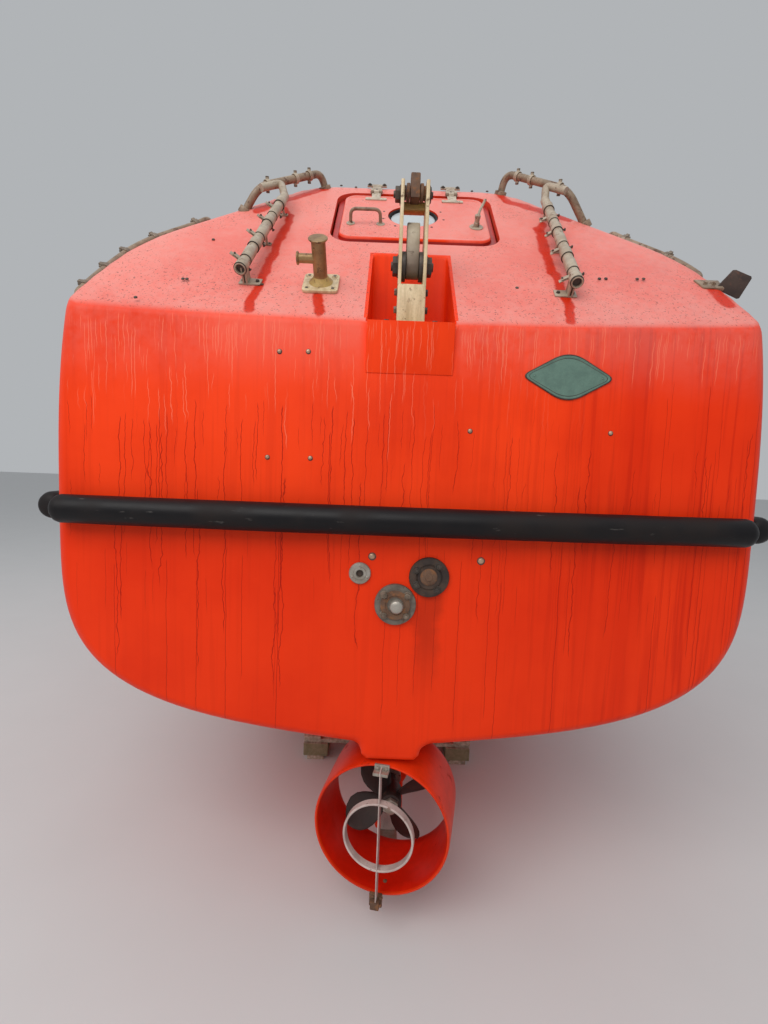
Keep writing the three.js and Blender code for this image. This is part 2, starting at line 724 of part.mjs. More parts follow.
// Window openings round the cupola: name, low corner and high corner
const cupolaWindows = [
  ['forward', [-270, cupolaY + 400, 3265], [270, cupolaY + 900, 3430]],
  ['aft', [-230, cupolaY - 900, 3275], [230, cupolaY - 400, 3430]],
  ['port', [-900, cupolaY - 330, 3265], [-300, cupolaY + 330, 3430]],
  ['starboard', [300, cupolaY - 330, 3265], [900, cupolaY + 330, 3430]],
];
const lidSize = [420, 460];
const cupolaTop = cupolaLevels[cupolaLevels.length - 1].z;
const coaming = 14;
const lidThickness = 22;
const lidHinge = 130;
const lidZ = cupolaTop + coaming + seam;
const lidAxis = { y: cupolaY + lidSize[1] / 2 + 18, z: lidZ + 18 };

function makeCupola() {
  const floor = block([-900, cupolaY - 900, 3000], [900, cupolaY + 900, 3101]);
  const inside = block([-440, cupolaY - 600, 3000], [440, cupolaY + 600, 3200]);
  const walls = cut(cupolaSkin(0), cupolaSkin(cupolaWall), floor, inside);
  const openings = cupolaWindows.map(([, low, high]) => block(low, high));
  const [halfWidth, halfLength] = [lidSize[0] / 2, lidSize[1] / 2];
  const rim = block([10 - halfWidth, cupolaY + 10 - halfLength, cupolaTop - 10],
    [halfWidth - 10, cupolaY + halfLength - 10, cupolaTop + coaming]);
  const lidHole = block([30 - halfWidth, cupolaY + 30 - halfLength, 3500],
    [halfWidth - 30, cupolaY + halfLength - 30, 3700]);
  const lugs = [-1, 1].flatMap((side) => [-1, 1].map((end) => {
    const x = side * lidHinge + end * hingeLug.offset;
    return block([x - hingeLug.half, lidAxis.y - hingeRadius, cupolaTop - 15],
      [x + hingeLug.half, lidAxis.y + 26, lidAxis.z + hingeRadius]);
  }));
  return cut(join(walls, rim, ...lugs), canopyClear, ...openings, lidHole);
}

function makeCupolaPanes() {
  const layer = cut(cupolaSkin(6), cupolaSkin(14));
  return cupolaWindows.map(([word, low, high]) => {
    const opening = block(low.map((v) => v + seam), high.map((v) => v - seam));
    return glass(`cupola_pane_${word}`, layer.intersect(opening));
  });
}

function makeLid() {
  let lid = solid(plate(roundedRectangle(...lidSize, 50), lidZ, lidThickness).translate(0, cupolaY, 0));
  for (const side of [-1, 1]) {
    const [x0, x1] = [side * lidHinge - hingeArm, side * lidHinge + hingeArm];
    const { y, z } = lidAxis;
    const arm = block([x0, cupolaY + lidSize[1] / 2 - 60, lidZ + 10], [x1, y, z + hingeRadius]);
    lid = join(lid, arm, rod([x0, y, z], [x1, y, z], hingeRadius));
  }
  return lid;
}

// Side hatch cut from the canopy's own wall, with two hinges along its upper edge
const archShare = (z) => (1 - ((z - gunwaleZ) / archHeight) ** archPower) ** (1 / archPower);
const archX = (y, z) => along('breadth', y) * archShare(z);
const sideAxis = { x: archX(3200, sideHatch.z1 + 3) + hingeLift, z: sideHatch.z1 + 3 };
const sideHinges = [sideHatch.y0 + 140, sideHatch.y1 - 140];

function makeSideHatch(side) {
  const wall = cut(canopySkin(0), canopyHollow(canopyWall));
  let hatch = wall.intersect(sideHatchBox(0, side));
  const { x, z } = sideAxis;
  for (const y of sideHinges) {
    const middle = side * (x - 4);
    const arm = block([middle - 12, y - hingeArm, z - 60], [middle + 12, y + hingeArm, z]);
    const knuckle = rod([side * x, y - hingeArm, z], [side * x, y + hingeArm, z], hingeRadius);
    hatch = join(hatch, arm, knuckle);
  }
  return hatch;
}

function sideLugs(side) {
  const middle = side * (sideAxis.x - 8);
  return sideHinges.flatMap((y) => [-1, 1].map((end) => {
    const lugY = y + end * hingeLug.offset;
    return block([middle - 23, lugY - hingeLug.half, sideAxis.z + 3],
      [middle + 23, lugY + hingeLug.half, sideAxis.z + 40]);
  }));
}

// Running gear

function makeNozzle() {
  const duct = turned([[240, nozzleRear + 5], [248, nozzleRear], [rearRadius, nozzleRear],
    [frontRadius, nozzleFront - 20], [258, nozzleFront], [246, nozzleFront], [238, nozzleFront - 40],
    [236, 0]], 40);
  const stock = join(
    rod([0, 0, 240], [0, 0, skegZ - shaftZ + 55], stockRadius),
    block([-45, -60, 240], [45, 60, skegZ - shaftZ - 6]),
    rod([0, 0, -250], [0, 0, keelZ - shoeThickness - shaftZ + 2], 15),
  );
  const bore = rod([0, nozzleRear - 10, 0], [0, nozzleFront + 10, 0], 237, 40);
  return join(duct, cut(stock, bore));
}

function makeGuard() {
  const rear = nozzleRear - seam;
  const ring = turned([[124, rear - 62], [132, rear - 62], [132, rear - 12], [124, rear - 12]], 32);
  const fin = block([-4, rear - 62, -262], [4, rear - 4, 262]);
  const top = block([-28, rear - 40, 232], [28, rear, 260]);
  const lug = block([-22, rear - 34, -325], [22, rear, -240]);
  return join(ring, fin, top, lug);
}

function makePropeller() {
  const hub = turned([[0, -85], [22, -80], [40, -50], [46, -20], [46, 60], [25, 60],
    [25, 129.7], [0, 129.7]], 24);
  const blades = [110, 200, 290, 20].map((degrees) => {
    const shape = new THREE.Shape();
    shape.moveTo(-28, 30);
    shape.bezierCurveTo(-90, 90, -95, 190, -30, propellerRadius);
    shape.bezierCurveTo(30, propellerRadius + 4, 80, 170, 62, 110);
    shape.lineTo(28, 30);
    const options = { depth: 10, bevelEnabled: false, curveSegments: 8 };
    const blade = new THREE.ExtrudeGeometry(shape, options).translate(0, 0, -5);
    blade.rotateX(Math.PI / 2);
    blade.rotateZ(THREE.MathUtils.degToRad(32));
    blade.rotateY(THREE.MathUtils.degToRad(-degrees + 90));
    return solid(blade);
  });
  return join(hub, ...blades);
}

// Pallets

function makePallet() {
  const [width, depth, height] = palletSize;
  const board = 22;
  const rows = [-1, 0, 1];
  const parts = [];
  for (const row of rows) {
    const x = row * (width / 2 - 72.5);
    parts.push(block([x - 50, -depth / 2, 0], [x + 50, depth / 2, board + 1]));
    for (const place of rows) {
      const y = place * (depth / 2 - 72.5);
      parts.push(block([x - 72.5, y - 72.5, board], [x + 72.5, y + 72.5, height - board * 2 + 1]));
      parts.push(block([-width / 2, y - 60, height - board * 2], [width / 2, y + 60, height - board + 1]));
    }
  }
  const boards = 5;
  for (let i = 0; i < boards; i += 1) {
    const x = -width / 2 + 50 + (width - 100) * i / (boards - 1);
    parts.push(block([x - 50, -depth / 2, height - board], [x + 50, depth / 2, height]));
  }
  return join(...parts);
}

function makePlate() {
  const shape = new THREE.Shape();
  shape.moveTo(-147, 0);
  shape.quadraticCurveTo(-145, 16, -120, 26);
  shape.quadraticCurveTo(-60, 74, 0, 74);
  shape.quadraticCurveTo(60, 74, 120, 26);
  shape.quadraticCurveTo(145, 16, 147, 0);
  shape.quadraticCurveTo(145, -16, 120, -26);
  shape.quadraticCurveTo(60, -74, 0, -74);
  shape.quadraticCurveTo(-60, -74, -120, -26);
  shape.quadraticCurveTo(-145, -16, -147, 0);
  return solid(plate(shape, 0, 4));
}

// Assembly

const boat = new THREE.Group();
boat.name = 'enclosed_lifeboat';
const put = (mesh, x = 0, y = 0, z = 0, parent = boat) => {
  mesh.position.set(x, y, z);
  parent.add(mesh);
  return mesh;
};

put(orange('hull_shell', makeHull()));
put(orange('canopy_shell', makeCanopy()));
put(steel('keel_shoe', makeKeelShoe()));
put(rubber('fender_transom', makeTransomFender()));
put(rubber('fender_side', makeSideFender()));
put(orange('seat_liner', makeLiner()));
put(piece('engine_block', block([-engine.width / 2, engine.y, floorZ + seam],
  [engine.width / 2, engine.y + engine.length, floorZ + engine.height]), 0x4a5a50, 0.6, 0.4));
put(orange('cupola', makeCupola()));
makeCupolaPanes().forEach((pane) => put(pane));
makeSidePanes().forEach((pane) => put(pane));
put(orange('cupola_lid', makeLid()));
put(orange('side_hatch_port', makeSideHatch(-1)));
put(orange('side_hatch_starboard', makeSideHatch(1)));

boat.add(aftFrame, foreFrame);
const onAft = (mesh, x, s, z) => put(mesh, aftHatch.x + x, aftHatch.s + s, z, aftFrame);
const onFore = (mesh, x, s, z) => put(mesh, foreHatch.x + x, foreHatch.s + s, z, foreFrame);
const panelTop = seam - panelDrop;
const pane = rod([0, 0, 0], [0, 0, port.paneThickness], portRadius - seam, 32);
onAft(orange('aft_hatch', makeHatchPanel(aftHatch, true)), 0, 0, 0);
onAft(glass('aft_hatch_pane', pane), port.x, port.s, -port.paneDrop);
onAft(steel('aft_hatch_handle', makeGrip()), aftGrip.x, aftGrip.s, panelTop);
onAft(steel('aft_hatch_lever', makeLever()), lever.x, lever.s, panelTop);
onFore(orange('fore_hatch', makeHatchPanel(foreHatch, false)), 0, 0, 0);
onFore(steel('fore_hatch_handle', makeGrip()), foreGrip.x, foreGrip.s, panelTop);

const stands = [
  { word: 'aft', y: hookYs[0], z: transomTopZ, turn: 0 },
  { word: 'fore', y: hookYs[1], z: foreWellZ, turn: Math.PI },
];
for (const { word, y, z, turn } of stands) {
  const stand = new THREE.Group();
  stand.position.set(0, y, z + seam);
  stand.rotation.z = turn;
  boat.add(stand);
  put(steel(`${word}_hook`, makeHook()), 0, 0, 0, stand);
  put(steel(`${word}_hook_tongue`, makeTongue()), 0, hook.pivotY, hook.pivotZ, stand);
}

put(steel('aft_bollard', makeBollard()), -330, 235, 0, aftFrame);
put(steel('fore_bollard', makeBollard()), -330, 900, 0, foreFrame);

for (const { word, foot, head } of ladders) {
  const [dx, ds] = [head[0] - foot[0], head[1] - foot[1]];
  const rail = makeLadderRail(Math.hypot(dx, ds));
  put(steel(`ladder_rail_${word}`, seated(placed(rail, ...foot, aftFrame, Math.atan2(-dx, ds)))));
}
for (const rail of crossRails) {
  put(steel(`top_rail_${rail.word}`, makeCrossRail(rail)));
  put(steel(`side_rail_${rail.word}`, makeSideRail(rail.side)));
}
for (const flange of pipeFlanges) {
  put(steel(flange.name, makeFlange(flange)), flange.x, -seam, flange.z);
}
put(steel('corner_bracket', makeCornerBracket()));

const plateX = 547;
const plateTilt = new THREE.Group();
plateTilt.position.set(plateX, transomY(plateX) - 0.5, 2104);
plateTilt.rotation.set(Math.PI / 2, 0, 2 * transomY(plateX) / plateX, 'ZXY');
boat.add(plateTilt);
put(piece('data_plate', makePlate(), 0x3f6f66, 0.4, 0.2), 0, 0, 0, plateTilt);

const steering = new THREE.Group();
steering.position.set(0, stockY, shaftZ);
steering.rotation.z = nozzleTurn;
boat.add(steering);
put(orange('steering_nozzle', makeNozzle()), 0, 0, 0, steering);
put(steel('nozzle_guard', makeGuard()), 0, 0, 0, steering);
put(piece('propeller', makePropeller(), 0x3a3230, 0.5, 0.7), 0, stockY, shaftZ);
put(steel('stern_tube', rod([0, 330, shaftZ], [0, deadwoodY - seam, shaftZ], 48, 24)));

palletYs.forEach((y, i) => {
  const name = i === 0 ? 'pallet_aft' : 'pallet_fore';
  put(piece(name, makePallet(), 0x8d7a5c, 0.9, 0), 0, y, 0);
});

const box = new THREE.Box3().setFromObject(boat);
boat.position.y = -(box.min.y + box.max.y) / 2;

export default boat;
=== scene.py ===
# Enclosed lifeboat on two pallets: the looks that go round its fixed frame.
# Every piece is drawn in metres with y = 0 at the transom, and moved into the frame when it is done.
from math import atan2, cos, hypot, pi, radians, sin, sqrt, tan

import bmesh
import bpy
from mathutils import Matrix, Vector, noise


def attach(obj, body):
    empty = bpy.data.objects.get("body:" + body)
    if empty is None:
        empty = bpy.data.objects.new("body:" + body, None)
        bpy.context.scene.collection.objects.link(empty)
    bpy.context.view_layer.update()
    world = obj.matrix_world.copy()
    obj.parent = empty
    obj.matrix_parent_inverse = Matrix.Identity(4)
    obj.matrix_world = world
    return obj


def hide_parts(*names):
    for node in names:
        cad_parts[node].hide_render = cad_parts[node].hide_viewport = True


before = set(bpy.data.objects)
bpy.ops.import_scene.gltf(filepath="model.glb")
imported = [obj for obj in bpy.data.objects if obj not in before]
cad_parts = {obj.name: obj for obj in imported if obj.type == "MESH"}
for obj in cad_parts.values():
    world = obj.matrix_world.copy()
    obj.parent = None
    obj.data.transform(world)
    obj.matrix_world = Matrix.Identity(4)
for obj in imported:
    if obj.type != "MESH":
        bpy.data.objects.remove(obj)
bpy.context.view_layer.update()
aftY = -3.595745    # the transom's place in the frame
flat = Matrix()


# small modelling helpers

def shift(x, y, z):
    return Matrix.Translation((x, y, z))


def turned(axis, angle):
    return Matrix.Rotation(angle, 4, axis)


# The turn from straight up to the way a vector points
def turnTo(way):
    return Vector((0, 0, 1)).rotation_difference(way).to_matrix().to_4x4()


def fresh(bm, before):
    return [v for v in bm.verts if v not in before]


def roundEdges(bm, edges, width, steps=2):
    if width > 0 and edges:
        bmesh.ops.bevel(bm, geom=list(edges), offset=width, segments=steps, profile=0.5, affect='EDGES',
                        offset_type='OFFSET', material=-1, clamp_overlap=True)


def addBlock(bm, low, high, edge=0.002, place=flat, steps=2):
    size = [b - a for a, b in zip(low, high)]
    middle = [(a + b) / 2 for a, b in zip(low, high)]
    made = bmesh.ops.create_cube(bm, size=1, matrix=Matrix.Translation(middle) @ Matrix.Diagonal((*size, 1)))
    before = set(bm.verts) - set(made['verts'])
    roundEdges(bm, {e for v in made['verts'] for e in v.link_edges}, edge, steps)
    bmesh.ops.transform(bm, matrix=place, verts=fresh(bm, before))


def addRod(bm, start, end, radius, edge=0.001, place=flat, sides=32):
    start, end = Vector(start), Vector(end)
    axis = end - start
    before = set(bm.verts)
    bmesh.ops.create_cone(bm, cap_ends=True, segments=sides, radius1=radius, radius2=radius, depth=axis.length,
                          matrix=Matrix.Translation((start + end) / 2) @ turnTo(axis))
    made = fresh(bm, before)
    rims = {e for v in made for e in v.link_edges if any(len(f.verts) > 4 for f in e.link_faces)}
    roundEdges(bm, rims, edge)
    bmesh.ops.transform(bm, matrix=place, verts=fresh(bm, before))


# A turned piece from (radius, height) points, about its own z
def addTurned(bm, profile, place=flat, sides=48):
    before = set(bm.verts)
    points = [bm.verts.new((r, 0, h)) for r, h in profile]
    edges = [bm.edges.new(pair) for pair in zip(points, points[1:])]
    bmesh.ops.spin(bm, geom=points + edges, cent=(0, 0, 0), axis=(0, 0, 1), angle=2 * pi, steps=sides,
                   use_merge=True, use_duplicate=False)
    made = fresh(bm, before)
    bmesh.ops.remove_doubles(bm, verts=made, dist=1e-6)
    bmesh.ops.transform(bm, matrix=place, verts=fresh(bm, before))


# A flat plate from (x, y) points, its thickness along z, with rounded rims
def addPlate(bm, points, low, high, edge=0.0015, place=flat):
    before = set(bm.verts)
    face = bm.faces.new([bm.verts.new((x, y, low)) for x, y in points])
    made = bmesh.ops.extrude_face_region(bm, geom=[face])['geom']
    top = [v for v in made if isinstance(v, bmesh.types.BMVert)]
    bmesh.ops.translate(bm, vec=(0, 0, high - low), verts=top)
    whole = fresh(bm, before)
    rims = {e for v in whole for e in v.link_edges if abs(e.verts[0].co.z - e.verts[1].co.z) < 1e-6}
    roundEdges(bm, rims, edge)
    bmesh.ops.transform(bm, matrix=place, verts=fresh(bm, before))


# A sheet of faces whose point is given for each share (u, v) of its two sides
def addSheet(bm, columns, rows, pointAt):
    before = set(bm.verts)
    bmesh.ops.create_grid(bm, x_segments=columns, y_segments=rows, size=1)
    made = fresh(bm, before)
    lowX, highX = min(v.co.x for v in made), max(v.co.x for v in made)
    lowY, highY = min(v.co.y for v in made), max(v.co.y for v in made)
    for v in made:
        v.co = pointAt((v.co.x - lowX) / (highX - lowX), (v.co.y - lowY) / (highY - lowY))
    return made


# Closed rings of points, each joined to the next
def addRings(bm, rings, place=flat):
    count = len(rings[0])
    made = addSheet(bm, count, len(rings) - 1,
                    lambda u, v: rings[round(v * (len(rings) - 1))][round(u * count) % count])
    bmesh.ops.remove_doubles(bm, verts=made, dist=1e-6)
    bmesh.ops.transform(bm, matrix=place, verts=[v for v in made if v.is_valid])


def capEnds(bm):
    bmesh.ops.holes_fill(bm, edges=[e for e in bm.edges if e.is_boundary], sides=0)


def roundedOutline(width, height, corner, steps=8):
    points = []
    for quarter in range(4):
        signX, signY = [(1, 1), (-1, 1), (-1, -1), (1, -1)][quarter]
        for i in range(steps + 1):
            angle = pi / 2 * (quarter + i / steps)
            points.append((signX * (width / 2 - corner) + corner * cos(angle),
                           signY * (height / 2 - corner) + corner * sin(angle)))
    return points


def frameRing(width, height, corner, offset, level, steps=8):
    outline = roundedOutline(width + 2 * offset, height + 2 * offset, max(corner + offset, 0.002), steps)
    return [Vector((x, y, level)) for x, y in outline]


# The points of a bend that is drawn in towards a corner
def bendOf(start, corner, end, steps, first=0):
    shares = [i / steps for i in range(first, steps + 1)]
    return [start * (1 - t) ** 2 + corner * 2 * t * (1 - t) + end * t * t for t in shares]


def roundedPath(points, bend):
    points = [Vector(p) for p in points]
    path = [points[0]]
    for before, corner, after in zip(points, points[1:], points[2:]):
        reach = min(bend, (corner - before).length * 0.49, (after - corner).length * 0.49)
        path += bendOf(corner + (before - corner).normalized() * reach, corner,
                       corner + (after - corner).normalized() * reach, 6)
    return path + [points[-1]]


def circleAt(at, side, up, radius, sides):
    angles = [2 * pi * k / sides for k in range(sides)]
    return [at + (side * cos(a) + up * sin(a)) * radius for a in angles]


def onCircle(radius, degrees):
    return [(radius * cos(radians(d)), radius * sin(radians(d))) for d in degrees]


# A round bar through points, its corners bent
def addTube(bm, points, radius, bend=0.05, place=flat, sides=20):
    path = roundedPath(points, bend)
    rings = []
    side = None
    for i, at in enumerate(path):
        along = (path[min(i + 1, len(path) - 1)] - path[max(i - 1, 0)]).normalized()
        if side is None:
            side = along.orthogonal().normalized()
        side = (side - along * side.dot(along)).normalized()
        up = along.cross(side)
        rings.append(circleAt(at, side, up, radius, sides))
    ends = [[path[i].lerp(p, 0.001) for p in rings[i]] for i in (0, -1)]
    addRings(bm, [ends[0]] + rings + [ends[1]], place)


def addHexBolt(bm, place, across=0.018, head=0.008, washer=0.013):
    addRod(bm, (0, 0, 0), (0, 0, 0.002), washer, 0.0006, place, 20)
    addRod(bm, (0, 0, 0.0015), (0, 0, head + 0.002), across / 2, 0.0012, place, 6)


def addDome(bm, place, radius, height):
    profile = [(radius * cos(a), height * sin(a)) for a in [pi / 2 * i / 5 for i in range(6)]]
    addTurned(bm, [(radius, -0.002)] + profile[:-1] + [(0, height)], place, 16)


def addObject(name, data):
    thing = bpy.data.objects.new(name, data)
    bpy.context.scene.collection.objects.link(thing)
    return thing


# Smooth shading, but for the edges that are sharper than an angle
def shade(bm, sharp):
    for face in bm.faces:
        face.smooth = True
    for edge in bm.edges:
        edge.smooth = not (len(edge.link_faces) == 2 and edge.calc_face_angle(0) > radians(sharp))


def makePiece(bm, name, finish, body='boat', slot=None, nodes=(), sharp=35, extra=()):
    slot = slot or slotOf.get(finish, 'orange_laminate')
    bmesh.ops.remove_doubles(bm, verts=bm.verts, dist=2e-5)
    bmesh.ops.translate(bm, vec=(0, aftY, 0), verts=bm.verts)
    bmesh.ops.recalc_face_normals(bm, faces=bm.faces)
    shade(bm, sharp)
    mesh = bpy.data.meshes.new(name)
    bm.to_mesh(mesh)
    bm.free()
    for one in (finish, *extra):
        mesh.materials.append(one)
    piece = addObject(name, mesh)
    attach(piece, body)
    if nodes:
        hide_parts(*nodes)
    return piece


# One turned piece on the boat
def makeTurned(profile, place, sides, name, finish, **rest):
    bm = bmesh.new()
    addTurned(bm, profile, place, sides)
    makePiece(bm, name, finish, **rest)


def dress(nodes, finish):
    for node in nodes:
        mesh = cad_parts[node].data
        mesh.materials.clear()
        mesh.materials.append(finish)


# Bakes modifiers into a piece's mesh, so that it can be cut or shaped further
def settle(piece):
    bpy.context.view_layer.update()
    graph = bpy.context.evaluated_depsgraph_get()
    mesh = bpy.data.meshes.new_from_object(piece.evaluated_get(graph))
    piece.modifiers.clear()
    piece.data = mesh


# Gives a skin its wall, inwards
def thicken(piece, thickness):
    wall = piece.modifiers.new('wall', 'SOLIDIFY')
    wall.thickness = thickness
    wall.offset = -1
    settle(piece)


def cutWith(piece, cutter):
    bmesh.ops.translate(cutter, vec=(0, aftY, 0), verts=cutter.verts)
    bmesh.ops.recalc_face_normals(cutter, faces=cutter.faces)
    tool = addObject('cutter', bpy.data.meshes.new('cutter'))
    cutter.to_mesh(tool.data)
    cutter.free()
    knife = piece.modifiers.new('cut', 'BOOLEAN')
    knife.object = tool
    knife.operation = 'DIFFERENCE'
    knife.solver = 'EXACT'
    settle(piece)
    bpy.data.objects.remove(tool)
    keepSharp(piece, 35)


def keepSharp(piece, angle):
    bm = bmesh.new()
    bm.from_mesh(piece.data)
    shade(bm, angle)
    bm.to_mesh(piece.data)
    bm.free()


# material helpers: each finds its node tree from a socket that it is given

def isSocket(value):
    return isinstance(value, bpy.types.NodeSocket)


def addNode(tree, kind, inputs=None, **settings):
    node = tree.nodes.new('ShaderNode' + kind)
    for key, value in settings.items():
        setattr(node, key, value)
    for key, value in (inputs or {}).items():
        if isSocket(value):
            tree.links.new(value, node.inputs[key])
        else:
            node.inputs[key].default_value = value
    return node


def reckon(operation, *values, clamp=False):
    tree = next(v.id_data for v in values if isSocket(v))
    return addNode(tree, 'Math', dict(enumerate(values)), operation=operation, use_clamp=clamp).outputs[0]


def times(a, b):
    return reckon('MULTIPLY', a, b)


def plus(a, b):
    return reckon('ADD', a, b)


def minus(a, b):
    return reckon('SUBTRACT', a, b)


def blendOf(share, first, second):
    colours = [c if isSocket(c) else (*c, 1) for c in (first, second)]
    inputs = {0: share, 6: colours[0], 7: colours[1]}
    return addNode(share.id_data, 'Mix', inputs, data_type='RGBA').outputs[2]


def noiseOf(where, scale, detail=3, roughness=0.55):
    inputs = {'Vector': where, 'Scale': scale, 'Detail': detail, 'Roughness': roughness}
    return addNode(where.id_data, 'TexNoise', inputs).outputs['Fac']


# Noise about zero, to a reach either way
def wobbleOf(where, scale, detail, reach):
    return times(minus(noiseOf(where, scale, detail), 0.5), reach)


def stretched(where, scale, move=(0, 0, 0)):
    return addNode(where.id_data, 'Mapping', {'Vector': where, 'Scale': scale, 'Location': move}).outputs[0]


def axesOf(vector):
    return addNode(vector.id_data, 'SeparateXYZ', {0: vector}).outputs


# Goes smoothly from 0 to 1 as a value goes from low to high
def fadeOf(value, low, high):
    inputs = {'Value': value, 'From Min': low, 'From Max': high}
    return addNode(value.id_data, 'MapRange', inputs, interpolation_type='SMOOTHSTEP').outputs[0]


# Goes smoothly from 1 to 0 as a value goes from low to high
def fallOf(value, low, high):
    return minus(1.0, fadeOf(value, low, high))


def startMaterial(name, roughness=0.5, metallic=0.0, coat=0.0, coatRoughness=0.1, specular=0.5):
    material = bpy.data.materials.new(name)
    material.use_nodes = True
    shader = material.node_tree.nodes['Principled BSDF']
    for key, value in (('Roughness', roughness), ('Metallic', metallic), ('Coat Weight', coat),
                       ('Coat Roughness', coatRoughness), ('Specular IOR Level', specular)):
        shader.inputs[key].default_value = value
    return material, shader, material.node_tree.nodes.new('ShaderNodeTexCoord').outputs['Object']


def wire(shader, **sources):
    for key, source in sources.items():
        shader.id_data.links.new(source, shader.inputs[{'colour': 'Base Color', 'roughness': 'Roughness'}[key]])


def setBump(shader, height, strength, distance):
    bump = addNode(shader.id_data, 'Bump', {'Height': height, 'Strength': strength, 'Distance': distance})
    shader.id_data.links.new(bump.outputs[0], shader.inputs['Normal'])


# How far run lines wander to a side at each place: broad sways with small kinks
def swayOf(x, z):
    parts = []
    for across, down, detail in ((9.0, 7.0, 3), (30.0, 34.0, 2)):
        place = addNode(x.id_data, 'CombineXYZ', {0: times(x, across), 1: down, 2: times(z, down)}).outputs[0]
        parts.append(minus(noiseOf(place, 1.0, detail), 0.5))
    return plus(times(parts[0], 4.0), parts[1])


# Run lines of rain on a standing wall: each has its own place, top, length and width
def drips(x, z, sway, density, top, spread, length, width, wander, share):
    place = times(plus(x, times(sway, wander)), density)
    cells = addNode(x.id_data, 'TexVoronoi', {'W': place, 'Scale': 1.0}, voronoi_dimensions='1D')
    chance = addNode(x.id_data, 'SeparateColor', {0: cells.outputs['Color']}).outputs
    wide = times(plus(0.45, chance[1]), width)
    line = fallOf(reckon('DIVIDE', cells.outputs['Distance'], wide), 0.35, 1.0)
    start = minus(top, times(chance[0], spread))
    end = minus(start, times(plus(0.12, times(chance[1], chance[1])), length))
    below = fallOf(minus(z, start), -0.02, 0.0)
    above = fadeOf(minus(z, end), 0.0, 0.05)
    return times(times(line, fadeOf(chance[2], 1 - share, 1.1 - share)), times(below, above))


# A soft-edged patch on a wall, round (x, z), widening from its top to its foot
def stain(x, z, middle, top, foot, width):
    inside = fallOf(reckon('ABSOLUTE', minus(x, middle)), width * 0.25, width)
    under = fallOf(z, top - 0.02, top + 0.01)
    return times(inside, times(under, fadeOf(z, foot, foot + (top - foot) * 0.8)))


# A band of a half width along the line from one point of a wall to another
def trail(x, z, start, end, width):
    dx, dz = end[0] - start[0], end[1] - start[1]
    ex, ez = minus(x, start[0]), minus(z, start[1])
    share = reckon('DIVIDE', plus(times(ex, dx), times(ez, dz)), dx * dx + dz * dz, clamp=True)
    ex, ez = minus(ex, times(share, dx)), minus(ez, times(share, dz))
    return fallOf(reckon('SQRT', plus(times(ex, ex), times(ez, ez))), width * 0.55, width)


# gelcoat tones and heights; the pale pink tone is chalk and also a painted sky sheen on the faces that look up
laminate = {
    'bright': (0.95, 0.052, 0.005), 'deep': (0.68, 0.022, 0.001), 'low': (0.76, 0.02, 0.0005),
    'streak': (0.44, 0.009, 0.001), 'chalkAndSheen': (0.76, 0.345, 0.305), 'pale': (0.95, 0.26, 0.15),
    'run': (0.36, 0.006, 0.001), 'fresh': (0.6, 0.022, 0.003), 'dirt': (0.1, 0.035, 0.02),
    'soot': (0.2, 0.012, 0.003), 'sootPatch': (0.1, 1.33, 0.88, 0.07),
    'belowFender': (1.45, 1.62), 'topBand': (2.0, 2.3), 'besideLip': (0.02, 0.032),
}
# rain lines in sets: shift along x, lines a metre, top, spread, length, width, wander, share, strength, tone, zone
rainLines = (
    (0.0, 46.0, 2.0, 0.12, 0.8, 0.07, 0.009, 0.7, 0.85, 'run', 'port'),
    (7.1, 26.0, 1.98, 0.4, 0.7, 0.044, -0.013, 0.55, 0.75, 'run', None),
    (4.4, 60.0, 2.15, 0.6, 1.1, 0.08, 0.004, 0.6, 0.62, 'run', 'starboard'),
    (3.3, 36.0, 1.56, 0.25, 0.9, 0.05, 0.004, 0.5, 0.62, 'run', None),
    (5.7, 110.0, 2.29, 0.05, 0.18, 0.18, 0.007, 0.8, 0.36, 'pale', None),
    (1.3, 80.0, 2.27, 0.2, 0.26, 0.12, -0.007, 0.7, 0.38, 'pale', 'port'),
    (9.2, 56.0, 2.14, 0.14, 0.24, 0.09, 0.011, 0.6, 0.42, 'pale', 'portPatchy'),
)
# washed-clean runs on the aft slope, each a chain of (x, z) points and a half width
cleanRuns = (
    (((-0.575, 2.925), (-0.534, 2.88), (-0.545, 2.66), (-0.553, 2.45), (-0.562, 2.3)), 0.023),
    (((0.6, 2.88), (0.567, 2.841), (0.554, 2.674), (0.558, 2.551), (0.565, 2.408), (0.556, 2.3)), 0.024),
    (((-0.69, 2.905), (-0.6, 2.985), (-0.415, 3.125)), 0.025),
    (((0.448, 3.135), (0.472, 3.06), (0.607, 2.995), (0.72, 2.925)), 0.025),
    (((-0.325, 2.375), (-0.318, 2.3)), 0.025),
    (((-0.263, 2.8), (-0.258, 2.745)), 0.011),
    (((-0.128, 2.815), (-0.122, 2.73)), 0.013),
    (((0.29, 2.815), (0.292, 2.76)), 0.014),
    (((1.15, 2.495), (1.147, 2.415)), 0.034),
)
